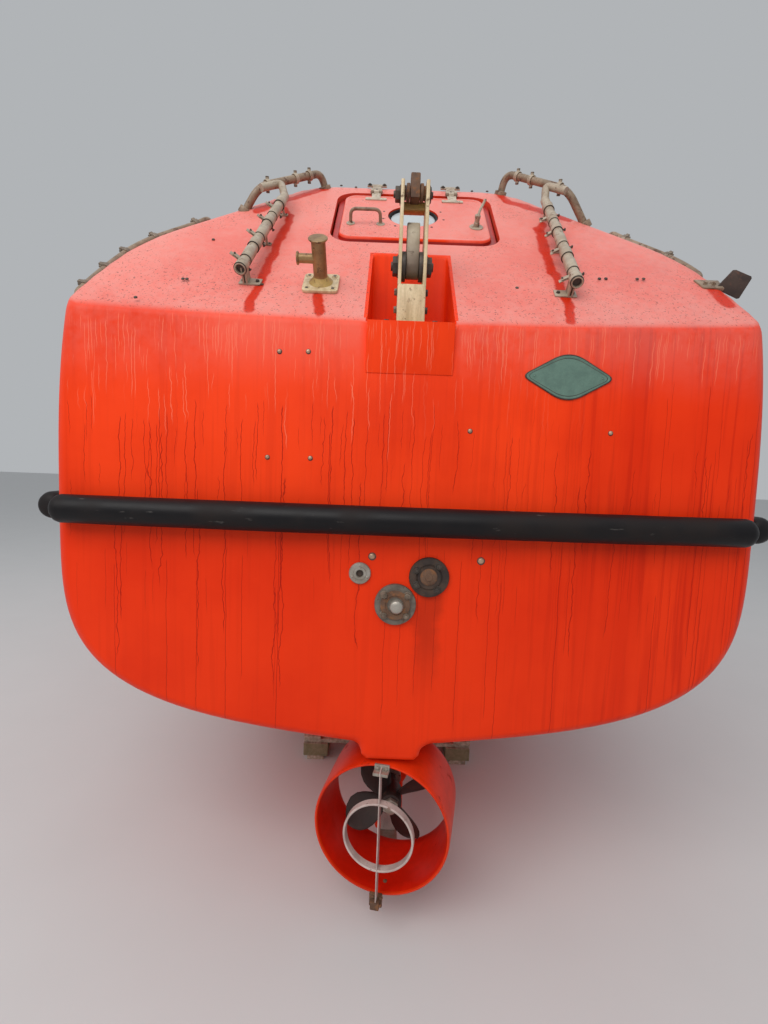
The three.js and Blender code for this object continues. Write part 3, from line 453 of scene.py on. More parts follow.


# Weathered gelcoat. The transom has rain lines, faces that look up are chalky, with a painted sky sheen in the same
# pale colour, and carry beads of water.
def makeLaminate(name, chalkAndSheenShare=1.0, lined=True):
    c = laminate
    material, shader, where = startMaterial(name, 0.36, coat=0.02, coatRoughness=0.12, specular=0.13)
    x, y, z = axesOf(where)
    facing = axesOf(where.id_data.nodes.new('ShaderNodeNewGeometry').outputs['Normal'])
    upward = fadeOf(facing[2], 0.25, 0.7)
    aftward = fallOf(facing[1], -0.8, -0.5)
    patches = noiseOf(where, 1.7, 5)
    bands = noiseOf(stretched(where, (8, 8, 0.6)), 1.0, 4)
    streaks = noiseOf(stretched(where, (55, 55, 1.5), (2, 0, 0)), 1.0, 4)
    fine = noiseOf(where, 34, 5)
    colour = blendOf(plus(0.45, times(fadeOf(patches, 0.3, 0.62), 0.55)), c['deep'], c['bright'])
    # long soft streaks, thickest towards starboard
    starboard = fadeOf(x, 0.25, 1.05)
    streaky = plus(0.16, times(starboard, 0.6))
    colour = blendOf(times(fadeOf(bands, 0.46, 0.7), streaky), colour, c['deep'])
    lines = times(times(fadeOf(streaks, 0.5, 0.66), streaky), times(aftward, 0.7))
    colour = blendOf(lines, colour, c['streak'])
    # darker towards starboard, which is painted shade, and a deeper tone below the fender
    starboardShadeAndLowTone = reckon('MAXIMUM', times(starboard, 0.45), times(fallOf(z, *c['belowFender']), 0.4))
    colour = blendOf(times(starboardShadeAndLowTone, aftward), colour, c['low'])
    # chalk, and on the faces that look up a painted sky sheen as well: strong on the slopes and roof; faint chalk in a
    # band under the transom's top
    worn = fadeOf(plus(patches, times(fine, 0.5)), 0.45, 0.95)
    upChalkAndSheen = times(upward, plus(0.42, times(worn, 0.34)))
    topBand = times(fadeOf(z, *c['topBand']), times(worn, 0.22))
    topBand = times(topBand, fadeOf(times(x, x), *c['besideLip']))
    colour = blendOf(times(reckon('MAXIMUM', upChalkAndSheen, topBand), chalkAndSheenShare), colour, c['chalkAndSheen'])
    if lined:
        roughX = plus(x, wobbleOf(where, 14, 4, 0.07))
        port = fallOf(x, -0.35, 0.9)
        sway = swayOf(x, z)
        patchy = times(port, fadeOf(noiseOf(where, 2.6, 2), 0.36, 0.56))
        zones = {'port': port, 'starboard': starboard, 'portPatchy': patchy}
        for move, *shape, strength, tone, zone in rainLines:
            lines = times(drips(plus(x, move), z, sway, *shape), times(aftward, strength))
            colour = blendOf(times(lines, zones[zone]) if zone else lines, colour, c[tone])
        # soot below the inlet, and washed-clean runs under the fittings on the slope
        soot = times(stain(roughX, z, *c['sootPatch']), aftward)
        colour = blendOf(times(soot, 0.42), colour, c['soot'])
        wavyX, wavyZ = plus(x, wobbleOf(where, 9, 4, 0.055)), plus(z, wobbleOf(where, 13, 3, 0.04))
        washed = times(upward, fallOf(y, -2.0, -1.8))
        for points, width in cleanRuns:
            for start, end in zip(points, points[1:]):
                run = times(trail(wavyX, wavyZ, start, end, width), washed)
                colour = blendOf(times(run, 0.96), colour, c['fresh'])
    # specks of dirt on the faces that look up
    dusty = reckon('MAXIMUM', fadeOf(noiseOf(where, 3.1, 2), 0.42, 0.62), times(fallOf(z, 2.35, 2.75), 0.9))
    specks = times(times(fadeOf(noiseOf(where, 120, 2), 0.61, 0.68), dusty), upward)
    colour = blendOf(times(specks, 0.62), colour, c['dirt'])
    wire(shader, colour=colour, roughness=plus(0.27, times(times(patches, fine), 0.6)))
    beads = addNode(where.id_data, 'TexVoronoi', {'Vector': where, 'Scale': 150.0}).outputs['Distance']
    beads = times(times(fallOf(beads, 0.12, 0.42), upward), fadeOf(noiseOf(where, 6.0, 3), 0.4, 0.6))
    waves = times(noiseOf(where, 5.0, 2), 3.0)
    setBump(shader, plus(times(beads, 0.9), plus(waves, times(fine, 0.25))), 0.55, 0.0016)
    return material


# Painted or bare metal: a base, a second shade in clouds, rust that gathers in patches
def makeMetal(name, base, shade, rust, rustShare=0.5, roughness=0.5, metallic=0.0, scale=18.0, bump=0.5, specular=0.5,
              brushed=1.0, foot=None):
    material, shader, where = startMaterial(name, roughness, metallic, specular=specular)
    clouds = noiseOf(stretched(where, (brushed, brushed, 1 / brushed)), scale, 5)
    grain = noiseOf(where, scale * 9, 4)
    spots = noiseOf(where, scale * 2.2, 6, 0.7)
    colour = blendOf(fadeOf(clouds, 0.38, 0.66), base, shade)
    eaten = fadeOf(spots, 0.72 - rustShare * 0.35, 0.8 - rustShare * 0.25)
    colour = blendOf(eaten, colour, rust)
    colour = blendOf(times(fadeOf(grain, 0.35, 0.75), 0.22), colour, tuple(v * 0.45 for v in base))
    if foot:
        # a darker lower part: its heights and its colour
        low, high, dark = foot
        edge = plus(axesOf(where)[2], times(minus(clouds, 0.5), 0.12))
        colour = blendOf(times(fallOf(edge, low, high), 0.85), colour, dark)
    wire(shader, colour=colour, roughness=reckon('ADD', roughness, times(eaten, 0.3), clamp=True))
    setBump(shader, plus(times(eaten, 0.7), times(grain, 0.6)), bump, 0.0009)
    return material


def makeRubber():
    material, shader, where = startMaterial('blackRubber', 0.55, specular=0.22)
    dust = fadeOf(noiseOf(where, 5.0, 5), 0.42, 0.75)
    scuffs = fadeOf(noiseOf(stretched(where, (14, 14, 60)), 1.0, 4), 0.66, 0.74)
    colour = blendOf(dust, (0.006, 0.005, 0.006), (0.016, 0.011, 0.01))
    colour = blendOf(times(scuffs, 0.5), colour, (0.12, 0.11, 0.1))
    wire(shader, colour=colour, roughness=plus(0.42, times(dust, 0.3)))
    setBump(shader, plus(noiseOf(where, 120, 3), times(noiseOf(where, 7, 2), 2.0)), 0.35, 0.001)
    return material


def makeWood():
    material, shader, where = startMaterial('palletWood', 0.85)
    grain = noiseOf(stretched(where, (60, 5, 60)), 1.0, 6, 0.6)
    rings = noiseOf(stretched(where, (16, 1.2, 16)), 1.0, 3)
    moss = fadeOf(noiseOf(where, 4.5, 4), 0.52, 0.7)
    colour = blendOf(fadeOf(grain, 0.35, 0.7), (0.34, 0.26, 0.19), (0.56, 0.46, 0.37))
    colour = blendOf(times(fadeOf(rings, 0.5, 0.7), 0.5), colour, (0.11, 0.08, 0.055))
    z = axesOf(where)[2]
    blocks = times(fadeOf(z, 0.022, 0.026), fallOf(z, 0.096, 0.1))
    moss = reckon('MAXIMUM', times(moss, 0.4), times(blocks, 0.75))
    wire(shader, colour=blendOf(moss, colour, (0.17, 0.15, 0.065)))
    setBump(shader, grain, 0.7, 0.002)
    return material


def makeGlass(name, clear, hazy, clean):
    material, shader, where = startMaterial(name, 0.06)
    shader.inputs['Transmission Weight'].default_value = clear
    shader.inputs['IOR'].default_value = 1.49
    haze = noiseOf(where, 9.0, 4)
    wire(shader, colour=blendOf(haze, hazy, clean), roughness=times(haze, 0.22))
    return material


orange = makeLaminate('orangeGelcoat')
hatchOrange = makeLaminate('hatchGelcoat', lined=False)
lipOrange = makeLaminate('lipGelcoat', chalkAndSheenShare=0.35)
wellOrange = makeLaminate('wellGelcoat', chalkAndSheenShare=0.0, lined=False)
# base, shade, rust, then how much rust, roughness and how metallic
duct = makeMetal('ductPaint', (0.74, 0.036, 0.004), (0.6, 0.024, 0.003), (0.36, 0.012, 0.003), 0.35, 0.38,
                 scale=4.0, bump=0.3, specular=0.2)
# the nozzle's inside: a darker, deeper red that is partly painted shade
shadedDuctInside = makeMetal('shadedDuctInside', (0.66, 0.012, 0.002), (0.52, 0.009, 0.001), (0.34, 0.008, 0.002), 0.3, 0.4,
                       scale=4.0, bump=0.3, specular=0.15)
# the hatch grooves' deep red: partly their own colour, partly painted shade in the groove
shadedGrooveRed = makeMetal('shadedGrooveRed', (0.42, 0.008, 0.002), (0.3, 0.005, 0.002), (0.5, 0.014, 0.003), 0.2, 0.35,
                      scale=6.0, bump=0.2)
cream = makeMetal('creamPaint', (0.72, 0.56, 0.34), (0.52, 0.37, 0.2), (0.16, 0.075, 0.035), 0.42, 0.45, brushed=2.6)
rail = makeMetal('railPaint', (0.45, 0.37, 0.275), (0.33, 0.25, 0.175), (0.15, 0.075, 0.045), 0.45, 0.42)
railBrown = makeMetal('railBrown', (0.31, 0.22, 0.145), (0.2, 0.135, 0.085), (0.11, 0.05, 0.03), 0.6, 0.4)
railPale = makeMetal('railPale', (0.58, 0.49, 0.38), (0.46, 0.38, 0.29), (0.16, 0.08, 0.05), 0.45, 0.45)
weldPaint = makeMetal('weldPaint', (0.52, 0.34, 0.1), (0.38, 0.22, 0.07), (0.16, 0.08, 0.03), 0.4, 0.5)
guardPaint = makeMetal('guardMetal', (0.58, 0.46, 0.42), (0.44, 0.33, 0.3), (0.22, 0.12, 0.09), 0.4, 0.5)
brassBolt = makeMetal('brassBolt', (0.6, 0.4, 0.27), (0.42, 0.27, 0.18), (0.14, 0.06, 0.03), 0.35, 0.32, 0.35,
                      scale=40.0)
brass = makeMetal('bollardMetal', (0.36, 0.22, 0.09), (0.22, 0.12, 0.05), (0.09, 0.045, 0.03), 0.5, 0.4, 0.35)
bronze = makeMetal('propellerBronze', (0.03, 0.018, 0.016), (0.055, 0.03, 0.024), (0.1, 0.05, 0.035), 0.4, 0.55, 0.3,
                   scale=9.0)
bare = makeMetal('bareSteel', (0.42, 0.38, 0.33), (0.3, 0.25, 0.2), (0.14, 0.06, 0.03), 0.35, 0.42, 0.55)
rusty = makeMetal('rustedSteel', (0.16, 0.085, 0.05), (0.1, 0.05, 0.03), (0.25, 0.11, 0.05), 0.7, 0.75, 0.1)
sooty = makeMetal('sootySteel', (0.035, 0.022, 0.018), (0.075, 0.045, 0.03), (0.12, 0.06, 0.035), 0.4, 0.62, 0.2)
darkBolt = makeMetal('darkBolt', (0.09, 0.07, 0.055), (0.05, 0.04, 0.035), (0.15, 0.07, 0.04), 0.5, 0.5, 0.4)
darkPlate = makeMetal('darkPlate', (0.075, 0.045, 0.035), (0.05, 0.03, 0.025), (0.14, 0.06, 0.04), 0.5, 0.45, 0.3)
flangeGrey = makeMetal('flangeGrey', (0.2, 0.17, 0.14), (0.12, 0.095, 0.075), (0.13, 0.065, 0.035), 0.45, 0.5, 0.4)
oldNut = makeMetal('oldNut', (0.27, 0.21, 0.16), (0.15, 0.11, 0.08), (0.12, 0.06, 0.035), 0.4, 0.45, 0.5, scale=30.0)
tongueSteel = makeMetal('tongueSteel', (0.46, 0.39, 0.29), (0.3, 0.23, 0.16), (0.07, 0.045, 0.035), 0.5, 0.5, 0.25,
                        scale=12.0, foot=(2.49, 2.6, (0.12, 0.075, 0.05)))
plateGreen = makeMetal('plateGreen', (0.125, 0.215, 0.17), (0.1, 0.175, 0.14), (0.06, 0.085, 0.07), 0.15, 0.42,
                       scale=22.0, bump=0.2)
engineGreen = makeMetal('enginePaint', (0.14, 0.19, 0.16), (0.09, 0.13, 0.11), (0.06, 0.05, 0.04), 0.3, 0.5)
linerCream = makeMetal('linerGelcoat', (0.62, 0.6, 0.54), (0.52, 0.5, 0.44), (0.4, 0.37, 0.3), 0.2, 0.45, scale=3.0,
                       bump=0.15)
rubber = makeRubber()
wood = makeWood()
glass = makeGlass('clearPane', 0.75, (0.62, 0.68, 0.68), (0.8, 0.84, 0.83))
# the port's pane: a pale grey that is partly haze and partly a painted sky reflection
hazyGlassAndSheen = makeGlass('hazyPaneAndSheen', 0.25, (0.5, 0.54, 0.56), (0.66, 0.7, 0.72))
# the slot that each finish goes in, unless a piece names another
usualSlots = {
    'bare_steel': (bare, brass, brassBolt, darkBolt, darkPlate, guardPaint, oldNut, rusty, tongueSteel),
    'cream_steel': (cream, rail, railBrown, railPale, weldPaint), 'flange_metal': (flangeGrey, sooty),
    'black_rubber': (rubber,), 'clear_pane': (hazyGlassAndSheen,), 'pallet_wood': (wood,),
    'propeller_bronze': (bronze,), 'plate_green': (plateGreen,),
}
slotOf = {finish: slot for slot, finishes in usualSlots.items() for finish in finishes}
print('materials made')

# hull form, the same numbers as the frame's

form = {
    'length': 7.2, 'gunwale': 1.59, 'arch': 1.6, 'archPower': 2.9, 'bilgePower': 4.0, 'deadrise': 0.13,
    'camber': 0.04, 'camberEnd': 0.6, 'aftTop': 2.267, 'stemTop': 1.9, 'aftAngle': radians(45),
    'foreAngle': radians(36), 'edge': 0.022, 'shoulder': 0.075, 'roofBlend': 0.1, 'stemRound': 0.07,
    'flatLevel': 1.2125, 'flatLean': 0.6146, 'flatBlend': 0.03,
    'hullWall': 0.06, 'canopyWall': 0.03, 'keelZ': 0.156, 'skegZ': 0.7,
    'fuller': (0.015, 0.031), 'flare': 0.022,
}
# y, half breadth at the gunwale, depth below it
stations = ((0, 1.228, 0.812), (0.04, 1.255, 0.835), (0.6, 1.275, 0.96), (1.8, 1.29, 1.13), (3.4, 1.285, 1.225),
            (4.8, 1.215, 1.2), (5.7, 1.02, 1.085), (6.4, 0.73, 0.85), (6.9, 0.4, 0.5), (7.2, 0.07, 0.17))
aftSlope = shift(0, 0, form['aftTop']) @ turned('X', form['aftAngle'])
foreSlope = shift(0, form['length'], form['stemTop']) @ turned('Z', pi) @ turned('X', form['foreAngle'])


def along(column, y):
    last = len(stations) - 1
    ahead = max(1, next((i for i, s in enumerate(stations) if s[0] >= y), last))

    def slope(i):
        a, b = stations[max(i - 1, 0)], stations[min(i + 1, last)]
        return (b[column] - a[column]) / (b[0] - a[0])
    a, b = stations[ahead - 1], stations[ahead]
    span = b[0] - a[0]
    t = (y - a[0]) / span
    return (a[column] * (1 - t) ** 2 * (1 + 2 * t) + b[column] * t ** 2 * (3 - 2 * t)
            + slope(ahead - 1) * span * t * (1 - t) ** 2 - slope(ahead) * span * t ** 2 * (1 - t))


def softMin(a, b, reach):
    return min(a, b) - max(reach - abs(a - b), 0) ** 2 / (4 * reach)


# A point of the canopy's section as shares of its breadth and height: a rounded arch with a flat shoulder
def archShare(angle):
    across, high, power = abs(cos(angle)), sin(angle), form['archPower']
    scale = (across ** power + high ** power) ** (-1 / power)
    scale = softMin(scale, form['flatLevel'] / (high + form['flatLean'] * across), form['flatBlend'])
    return across * scale, high * scale


# How far the skin is drawn in at the transom's edge and at the stem, to round them
def endInset(y):
    edge, nose = form['edge'], form['stemRound']
    if y < edge:
        return edge - sqrt(max(edge ** 2 - (edge - y) ** 2, 0))
    ahead = y - (form['length'] - nose)
    return nose - sqrt(max(nose ** 2 - ahead ** 2, 0)) if ahead > 0 else 0.0


def camberAt(x, y):
    return form['camber'] * max(0, 1 - y / form['camberEnd']) * (x / along(1, max(y, 0))) ** 2


# The length of a line up to each of its points
def runsOf(line):
    lengths = [0.0]
    for a, b in zip(line, line[1:]):
        lengths.append(lengths[-1] + (b - a).length)
    return lengths


def resample(line, shares):
    lengths = runsOf(line)
    result, i = [], 0
    for share in shares:
        want = share * lengths[-1]
        while i < len(line) - 2 and lengths[i + 1] < want:
            i += 1
        step = lengths[i + 1] - lengths[i]
        result.append(line[i].lerp(line[i + 1], 0 if step == 0 else min((want - lengths[i]) / step, 1)))
    return result


# Half of a section through the canopy, from the gunwale to the middle, with the slope's edge rounded
def canopyHalf(y, count):
    inset = endInset(y)
    breadth, arch = along(1, y) - inset, form['arch'] - inset
    aftZ = form['aftTop'] + y * tan(form['aftAngle'])
    foreZ = form['stemTop'] + (form['length'] - y) * tan(form['foreAngle'])
    roof = form['gunwale'] + arch

    def topAt(x):
        return softMin(min(aftZ + camberAt(x, y), foreZ) - inset, roof, form['roofBlend'])
    shares = [archShare(pi / 2 * i / 120) for i in range(121)]
    line = [Vector((breadth * across, form['gunwale'] + arch * high)) for across, high in shares]
    line[-1].x = 0
    corner = next((i for i, p in enumerate(line) if p.y > topAt(p.x)), None)
    even = [i / (count - 1) for i in range(count)]
    if corner is None or corner == 0:
        return resample(line, even)
    a, b = line[corner - 1], line[corner]
    share = (topAt(a.x) - a.y) / (b.y - a.y - topAt(b.x) + topAt(a.x))
    cut = a.lerp(b, min(max(share, 0), 1))
    lower = line[:corner]
    run = runsOf(lower + [cut])[-1]
    shoulder = form['shoulder'] * min(max(0.3 + 0.7 * y / 0.45, 0.3), 1)
    reach = min(shoulder, cut.x * 0.6, run * 0.4)
    while len(lower) > 1 and (cut - lower[-1]).length < reach:
        lower.pop()
    start, end = lower[-1], Vector((cut.x - reach, topAt(cut.x - reach)))
    bend = bendOf(start, cut, end, 14, 1)
    deck = [Vector((x, topAt(x))) for x in [end.x * (1 - i / 12) for i in range(1, 13)]]
    whole = lower + bend + deck
    lowRun, bendRun = runsOf(lower)[-1], runsOf([start] + bend)[-1]
    total = lowRun + bendRun + end.x
    first, second = round(count * 0.42), round(count * 0.25)
    aligned = ([lowRun / total * i / first for i in range(first)]
               + [(lowRun + bendRun * i / second) / total for i in range(second)]
               + [(lowRun + bendRun + end.x * i / (count - first - second - 1)) / total
                  for i in range(count - first - second)])
    ease = min(max((min(y, form['length'] - y + 0.1) - 0.5) / 0.5, 0), 1)
    ease = ease * ease * (3 - 2 * ease)
    return resample(whole, [p * (1 - ease) + q * ease for p, q in zip(aligned, even)])


def sectionYs():
    ys = [0, 0.002, 0.006, 0.012, 0.022, 0.04]
    for reach, step in ((1.25, 0.04), (5.0, 0.13), (7.08, 0.05)):
        while ys[-1] < reach:
            ys.append(ys[-1] + step)
    return ys + [7.14, 7.165, 7.18, 7.19, 7.196, 7.2]


# One skin with its transom, from a function that gives half of each section
def makeSkin(halfAt, count):
    bm = bmesh.new()
    ys = sectionYs()
    halves = [halfAt(y, count) for y in ys]

    def pointAt(u, v):
        row, column = round(v * (len(ys) - 1)), round(u * (2 * count - 2))
        half = halves[row]
        p = half[column] if column < count else half[2 * count - 2 - column]
        return Vector((p.x if column < count else -p.x, ys[row], p.y))
    addSheet(bm, 2 * count - 2, len(ys) - 1, pointAt)
    bmesh.ops.remove_doubles(bm, verts=bm.verts, dist=1e-5)
    edge = sorted([v for v in bm.verts if v.co.y < 1e-6], key=lambda v: atan2(v.co.z - form['gunwale'], v.co.x)
                  if abs(v.co.z - form['gunwale']) > 1e-4 else (0 if v.co.x > 0 else pi))
    if halves[0][-1].y < form['gunwale']:
        edge = sorted(edge, key=lambda v: -atan2(v.co.z - form['gunwale'] - 1e-4, v.co.x))
    strips = [bm.faces.new(edge)]
    for i in range(-30, 31):
        geometry = list({g for f in strips for g in [f, *f.edges, *f.verts]})
        made = bmesh.ops.bisect_plane(bm, geom=geometry, plane_co=(i * 0.04, 0, 0), plane_no=(1, 0, 0), dist=1e-6)
        strips = [g for g in made['geom'] if isinstance(g, bmesh.types.BMFace)]
    for v in bm.verts:
        v.co.y += camberAt(v.co.x, v.co.y)
        v.co.x += flare(v.co.x, v.co.y)
    return bm


def addPrism(bm, width, height, corner, low, high, place):
    addPlate(bm, roundedOutline(width, height, corner), low, high, 0, place)


# openings: the wells, and the hatches with s up the slope
well = {'half': 0.15, 'wall': 0.0118, 'deep': 0.03, 'aftStart': 0.016, 'aftEnd': 0.355,
        'foreStart': 6.45, 'foreEnd': 6.856, 'foreFloor': 2.15}
aftHatch = {'x': 0.02, 's': 0.892, 'width': 0.71, 'height': 0.536, 'corner': 0.085, 'hinge': 0.181}
foreHatch = {'x': 0.0, 's': 1.33, 'width': 0.56, 'height': 0.48, 'corner': 0.07, 'hinge': 0.15}
hatchGap = 0.008
cupolaHole = (0.66, 0.96, 0.06)    # width, length and corner
sideHatch = {'low': (2.85, 1.76), 'high': (3.55, 2.38), 'gap': 0.006, 'corner': 0.06}
sidePort = {'ys': (1.5, 5.0), 'z': 2.14, 'hole': 0.11}
aftHatchPlace = aftSlope @ shift(aftHatch['x'], aftHatch['s'], 0)
foreHatchPlace = foreSlope @ shift(foreHatch['x'], foreHatch['s'], 0)
# looks along x: the plate's x becomes y and its y becomes z
sideways = Matrix(((0, 0, 1, 0), (1, 0, 0, 0), (0, 1, 0, 0), (0, 0, 0, 1)))


def sidePlace(side):
    (y0, z0), (y1, z1) = sideHatch['low'], sideHatch['high']
    return shift(side * 1.2, (y0 + y1) / 2, (z0 + z1) / 2) @ sideways


# The moulding is a little wider to starboard at the stern
def flare(x, y):
    return form['flare'] * min(max((x - 0.5) / 0.6, 0), 1.2) * max(1 - y / 1.3, 0) ** 1.5


def makeCanopy():
    piece = makePiece(makeSkin(canopyHalf, 58), 'canopy', orange, nodes=('canopy_shell',), sharp=40)
    thicken(piece, form['canopyWall'])
    holes = bmesh.new()
    # a little wider than the wells, whose walls cover the cut
    over, top = 0.005, 3.4
    half = well['half'] + over
    addBlock(holes, (-half, -0.2, form['aftTop']), (half, well['aftEnd'] + over, top), 0)
    addBlock(holes, (-half, well['foreStart'] - over, well['foreFloor'] - 0.004), (half, 7.4, top), 0)
    for hatch, place in ((aftHatch, aftHatchPlace), (foreHatch, foreHatchPlace)):
        addPrism(holes, hatch['width'] + 2 * hatchGap, hatch['height'] + 2 * hatchGap, hatch['corner'] + hatchGap,
                 -0.2, 0.2, place)
    addPrism(holes, *cupolaHole, 3.0, top, shift(0, 2.7, 0))
    (y0, z0), (y1, z1) = sideHatch['low'], sideHatch['high']
    for side in (-1, 1):
        gap = sideHatch['gap']
        addPrism(holes, y1 - y0 + 2 * gap, z1 - z0 + 2 * gap, sideHatch['corner'] + gap, -0.35, 0.35, sidePlace(side))
        for y in sidePort['ys']:
            addRod(holes, (side * 0.8, y, sidePort['z']), (side * 1.5, y, sidePort['z']), sidePort['hole'], 0, sides=48)
    cutWith(piece, holes)


def hullHalf(y, count):
    inset = endInset(y)
    breadth, depth, power = along(1, y) - inset, along(2, y) - inset, form['bilgePower']
    line = []
    for i in range(121):
        angle = pi / 2 * i / 120
        scale = (abs(cos(angle)) ** power + sin(angle) ** power) ** (-1 / power)
        x = max(breadth * cos(angle) * scale, 0)
        drop = depth * sin(angle) * scale * (1 - form['deadrise'] * x / along(2, y))
        # fuller near the transom
        full = sin(angle) * scale * max(1 - y / 1.2, 0)
        drop += full * (form['fuller'][0] + form['fuller'][1] * x)
        line.append(Vector((x, form['gunwale'] - 0.0003 - drop)))
    line[-1].x = 0
    skeg = softSkeg(y, line)
    return resample(skeg, shareOut(skeg, count))


keel = {'skegHalf': 0.1, 'flank': 0.062, 'lean': 0.01, 'skegEnd': 0.62,
        'footShift': -0.014, 'shiftTop': 0.8, 'shiftEnd': 0.72}


# Lets the skeg down from the bottom's line: a hollow flank, a wall and a flat foot
def softSkeg(y, line):
    bottom = form['skegZ'] + endInset(y)
    half = keel['skegHalf'] - endInset(y)
    under = next(p.y for p in line if p.x <= half + keel['flank'])
    if y > keel['skegEnd'] or under - bottom < 0.004:
        return line
    flank = min(keel['flank'], (under - bottom) * 0.8)
    outer = [p for p in line if p.x > half + flank]
    start = outer[-1]
    corner = Vector((half + keel['lean'], start.y))
    end = Vector((half + keel['lean'] * 0.6, start.y - flank))
    soft = min(0.012, (end.y - bottom) * 0.5)
    foot = ((half - 0.003, bottom + soft), (half - 0.007, bottom + soft * 0.3), (half - 0.014, bottom), (0, bottom))
    return outer + bendOf(start, corner, end, 8, 1) + [Vector(p) for p in foot]


# Puts more points where the bilge and the skeg bend
def shareOut(line, count):
    weights = [0.0]
    for i in range(1, len(line)):
        step = (line[i] - line[i - 1]).length
        bend = 0
        if i < len(line) - 1:
            a, b = line[i] - line[i - 1], line[i + 1] - line[i]
            bend = a.angle(b, 0) if a.length > 1e-7 and b.length > 1e-7 else 0
        weights.append(weights[-1] + step + 0.25 * bend)
    lengths, shares, i = runsOf(line), [], 0
    for k in range(count):
        want = weights[-1] * k / (count - 1)
        while i < len(weights) - 2 and weights[i + 1] < want:
            i += 1
        step = weights[i + 1] - weights[i]
        t = 0 if step == 0 else min((want - weights[i]) / step, 1)
        shares.append((lengths[i] + (lengths[i + 1] - lengths[i]) * t) / lengths[-1])
    return shares


def makeHull():
    skin = makeSkin(hullHalf, 60)
    for v in skin.verts:
        above, ahead = keel['shiftTop'] - v.co.z, keel['shiftEnd'] - v.co.y
        if above > 0 and ahead > 0:
            v.co.x += keel['footShift'] * min(1, above / 0.06) * min(1, ahead / 0.3)
    piece = makePiece(skin, 'hull', orange, nodes=('hull_shell',), sharp=40)
    thicken(piece, form['hullWall'])
    keepSharp(piece, 40)


makeCanopy()
print('canopy made')
makeHull()
print('hull made')

# fittings, piece by piece

# The bright lip under the well, and the wells' own walls and floors
lip = {'half': 0.15, 'proud': 0.015, 'foot': 2.095}


def makeLip():
    bm = bmesh.new()
    top, foot, proud = form['aftTop'], lip['foot'], lip['proud']
    outline = [(-0.002, foot), (-proud * 0.8, foot + 0.1), (-proud, top), (0.034, top), (0.034, top - 0.04),
               (0.006, top - 0.05), (0.006, foot)]
    addPlate(bm, outline, -lip['half'], lip['half'], 0.005, sideways)
    makePiece(bm, 'wellLip', lipOrange)


# A well from its open front to its back, its walls cut off along the slope
def makeWell(name, floorZ, front, back, slope):
    bm = bmesh.new()
    half, wall, low = well['half'], well['wall'], floorZ - well['deep']
    way = 1 if front < back else -1
    soft, reach = way * 0.02, back + way * wall
    right = [(half + wall, reach), (half + wall, front), (half, front), (half, back - soft),
             (half - 0.006, back - soft * 0.3), (half - 0.02, back)]
    outline = [(-x, y) for x, y in right[1::-1]] + right + [(-x, y) for x, y in right[:1:-1]]
    addPlate(bm, outline, low, floorZ + 0.75, 0)
    out = slope.to_3x3() @ Vector((0, 0, 1))
    at = slope.translation + out * 0.0004
    geometry = bm.verts[:] + bm.edges[:] + bm.faces[:]
    cut = bmesh.ops.bisect_plane(bm, geom=geometry, plane_co=at, plane_no=out, clear_outer=True, dist=1e-6)
    rim = [g for g in cut['geom_cut'] if isinstance(g, bmesh.types.BMEdge)]
    bmesh.ops.holes_fill(bm, edges=rim, sides=0)
    start, end = sorted((front, back))

    def onRim(v):
        within = abs(v.co.x) < half + 1e-4 and start + 1e-4 < v.co.y < end - 1e-4
        return abs((v.co - at).dot(out)) < 1e-5 and (within or abs(v.co.x) < half - 0.01)
    roundEdges(bm, [e for e in bm.edges if all(onRim(v) for v in e.verts)], 0.008, 3)
    addBlock(bm, (-half - wall, start, low), (half + wall, end, floorZ), 0)
    makePiece(bm, name, wellOrange)


makeLip()
makeWell('aftWell', form['aftTop'], well['aftStart'], well['aftEnd'], aftSlope)
makeWell('foreWell', well['foreFloor'], well['foreEnd'], well['foreStart'], foreSlope)

# Lifting hooks: heights above the well's floor
hook = {'half': 0.05, 'plate': 0.012, 'column': 0.152, 'pivot': (0.01, 0.228), 'cross': (0.434, 0.458), 'bolt': 0.47,
        'pin': 0.476, 'top': 0.508, 'linkTop': 0.539, 'tongueHalf': 0.023, 'tongueTop': 0.377}


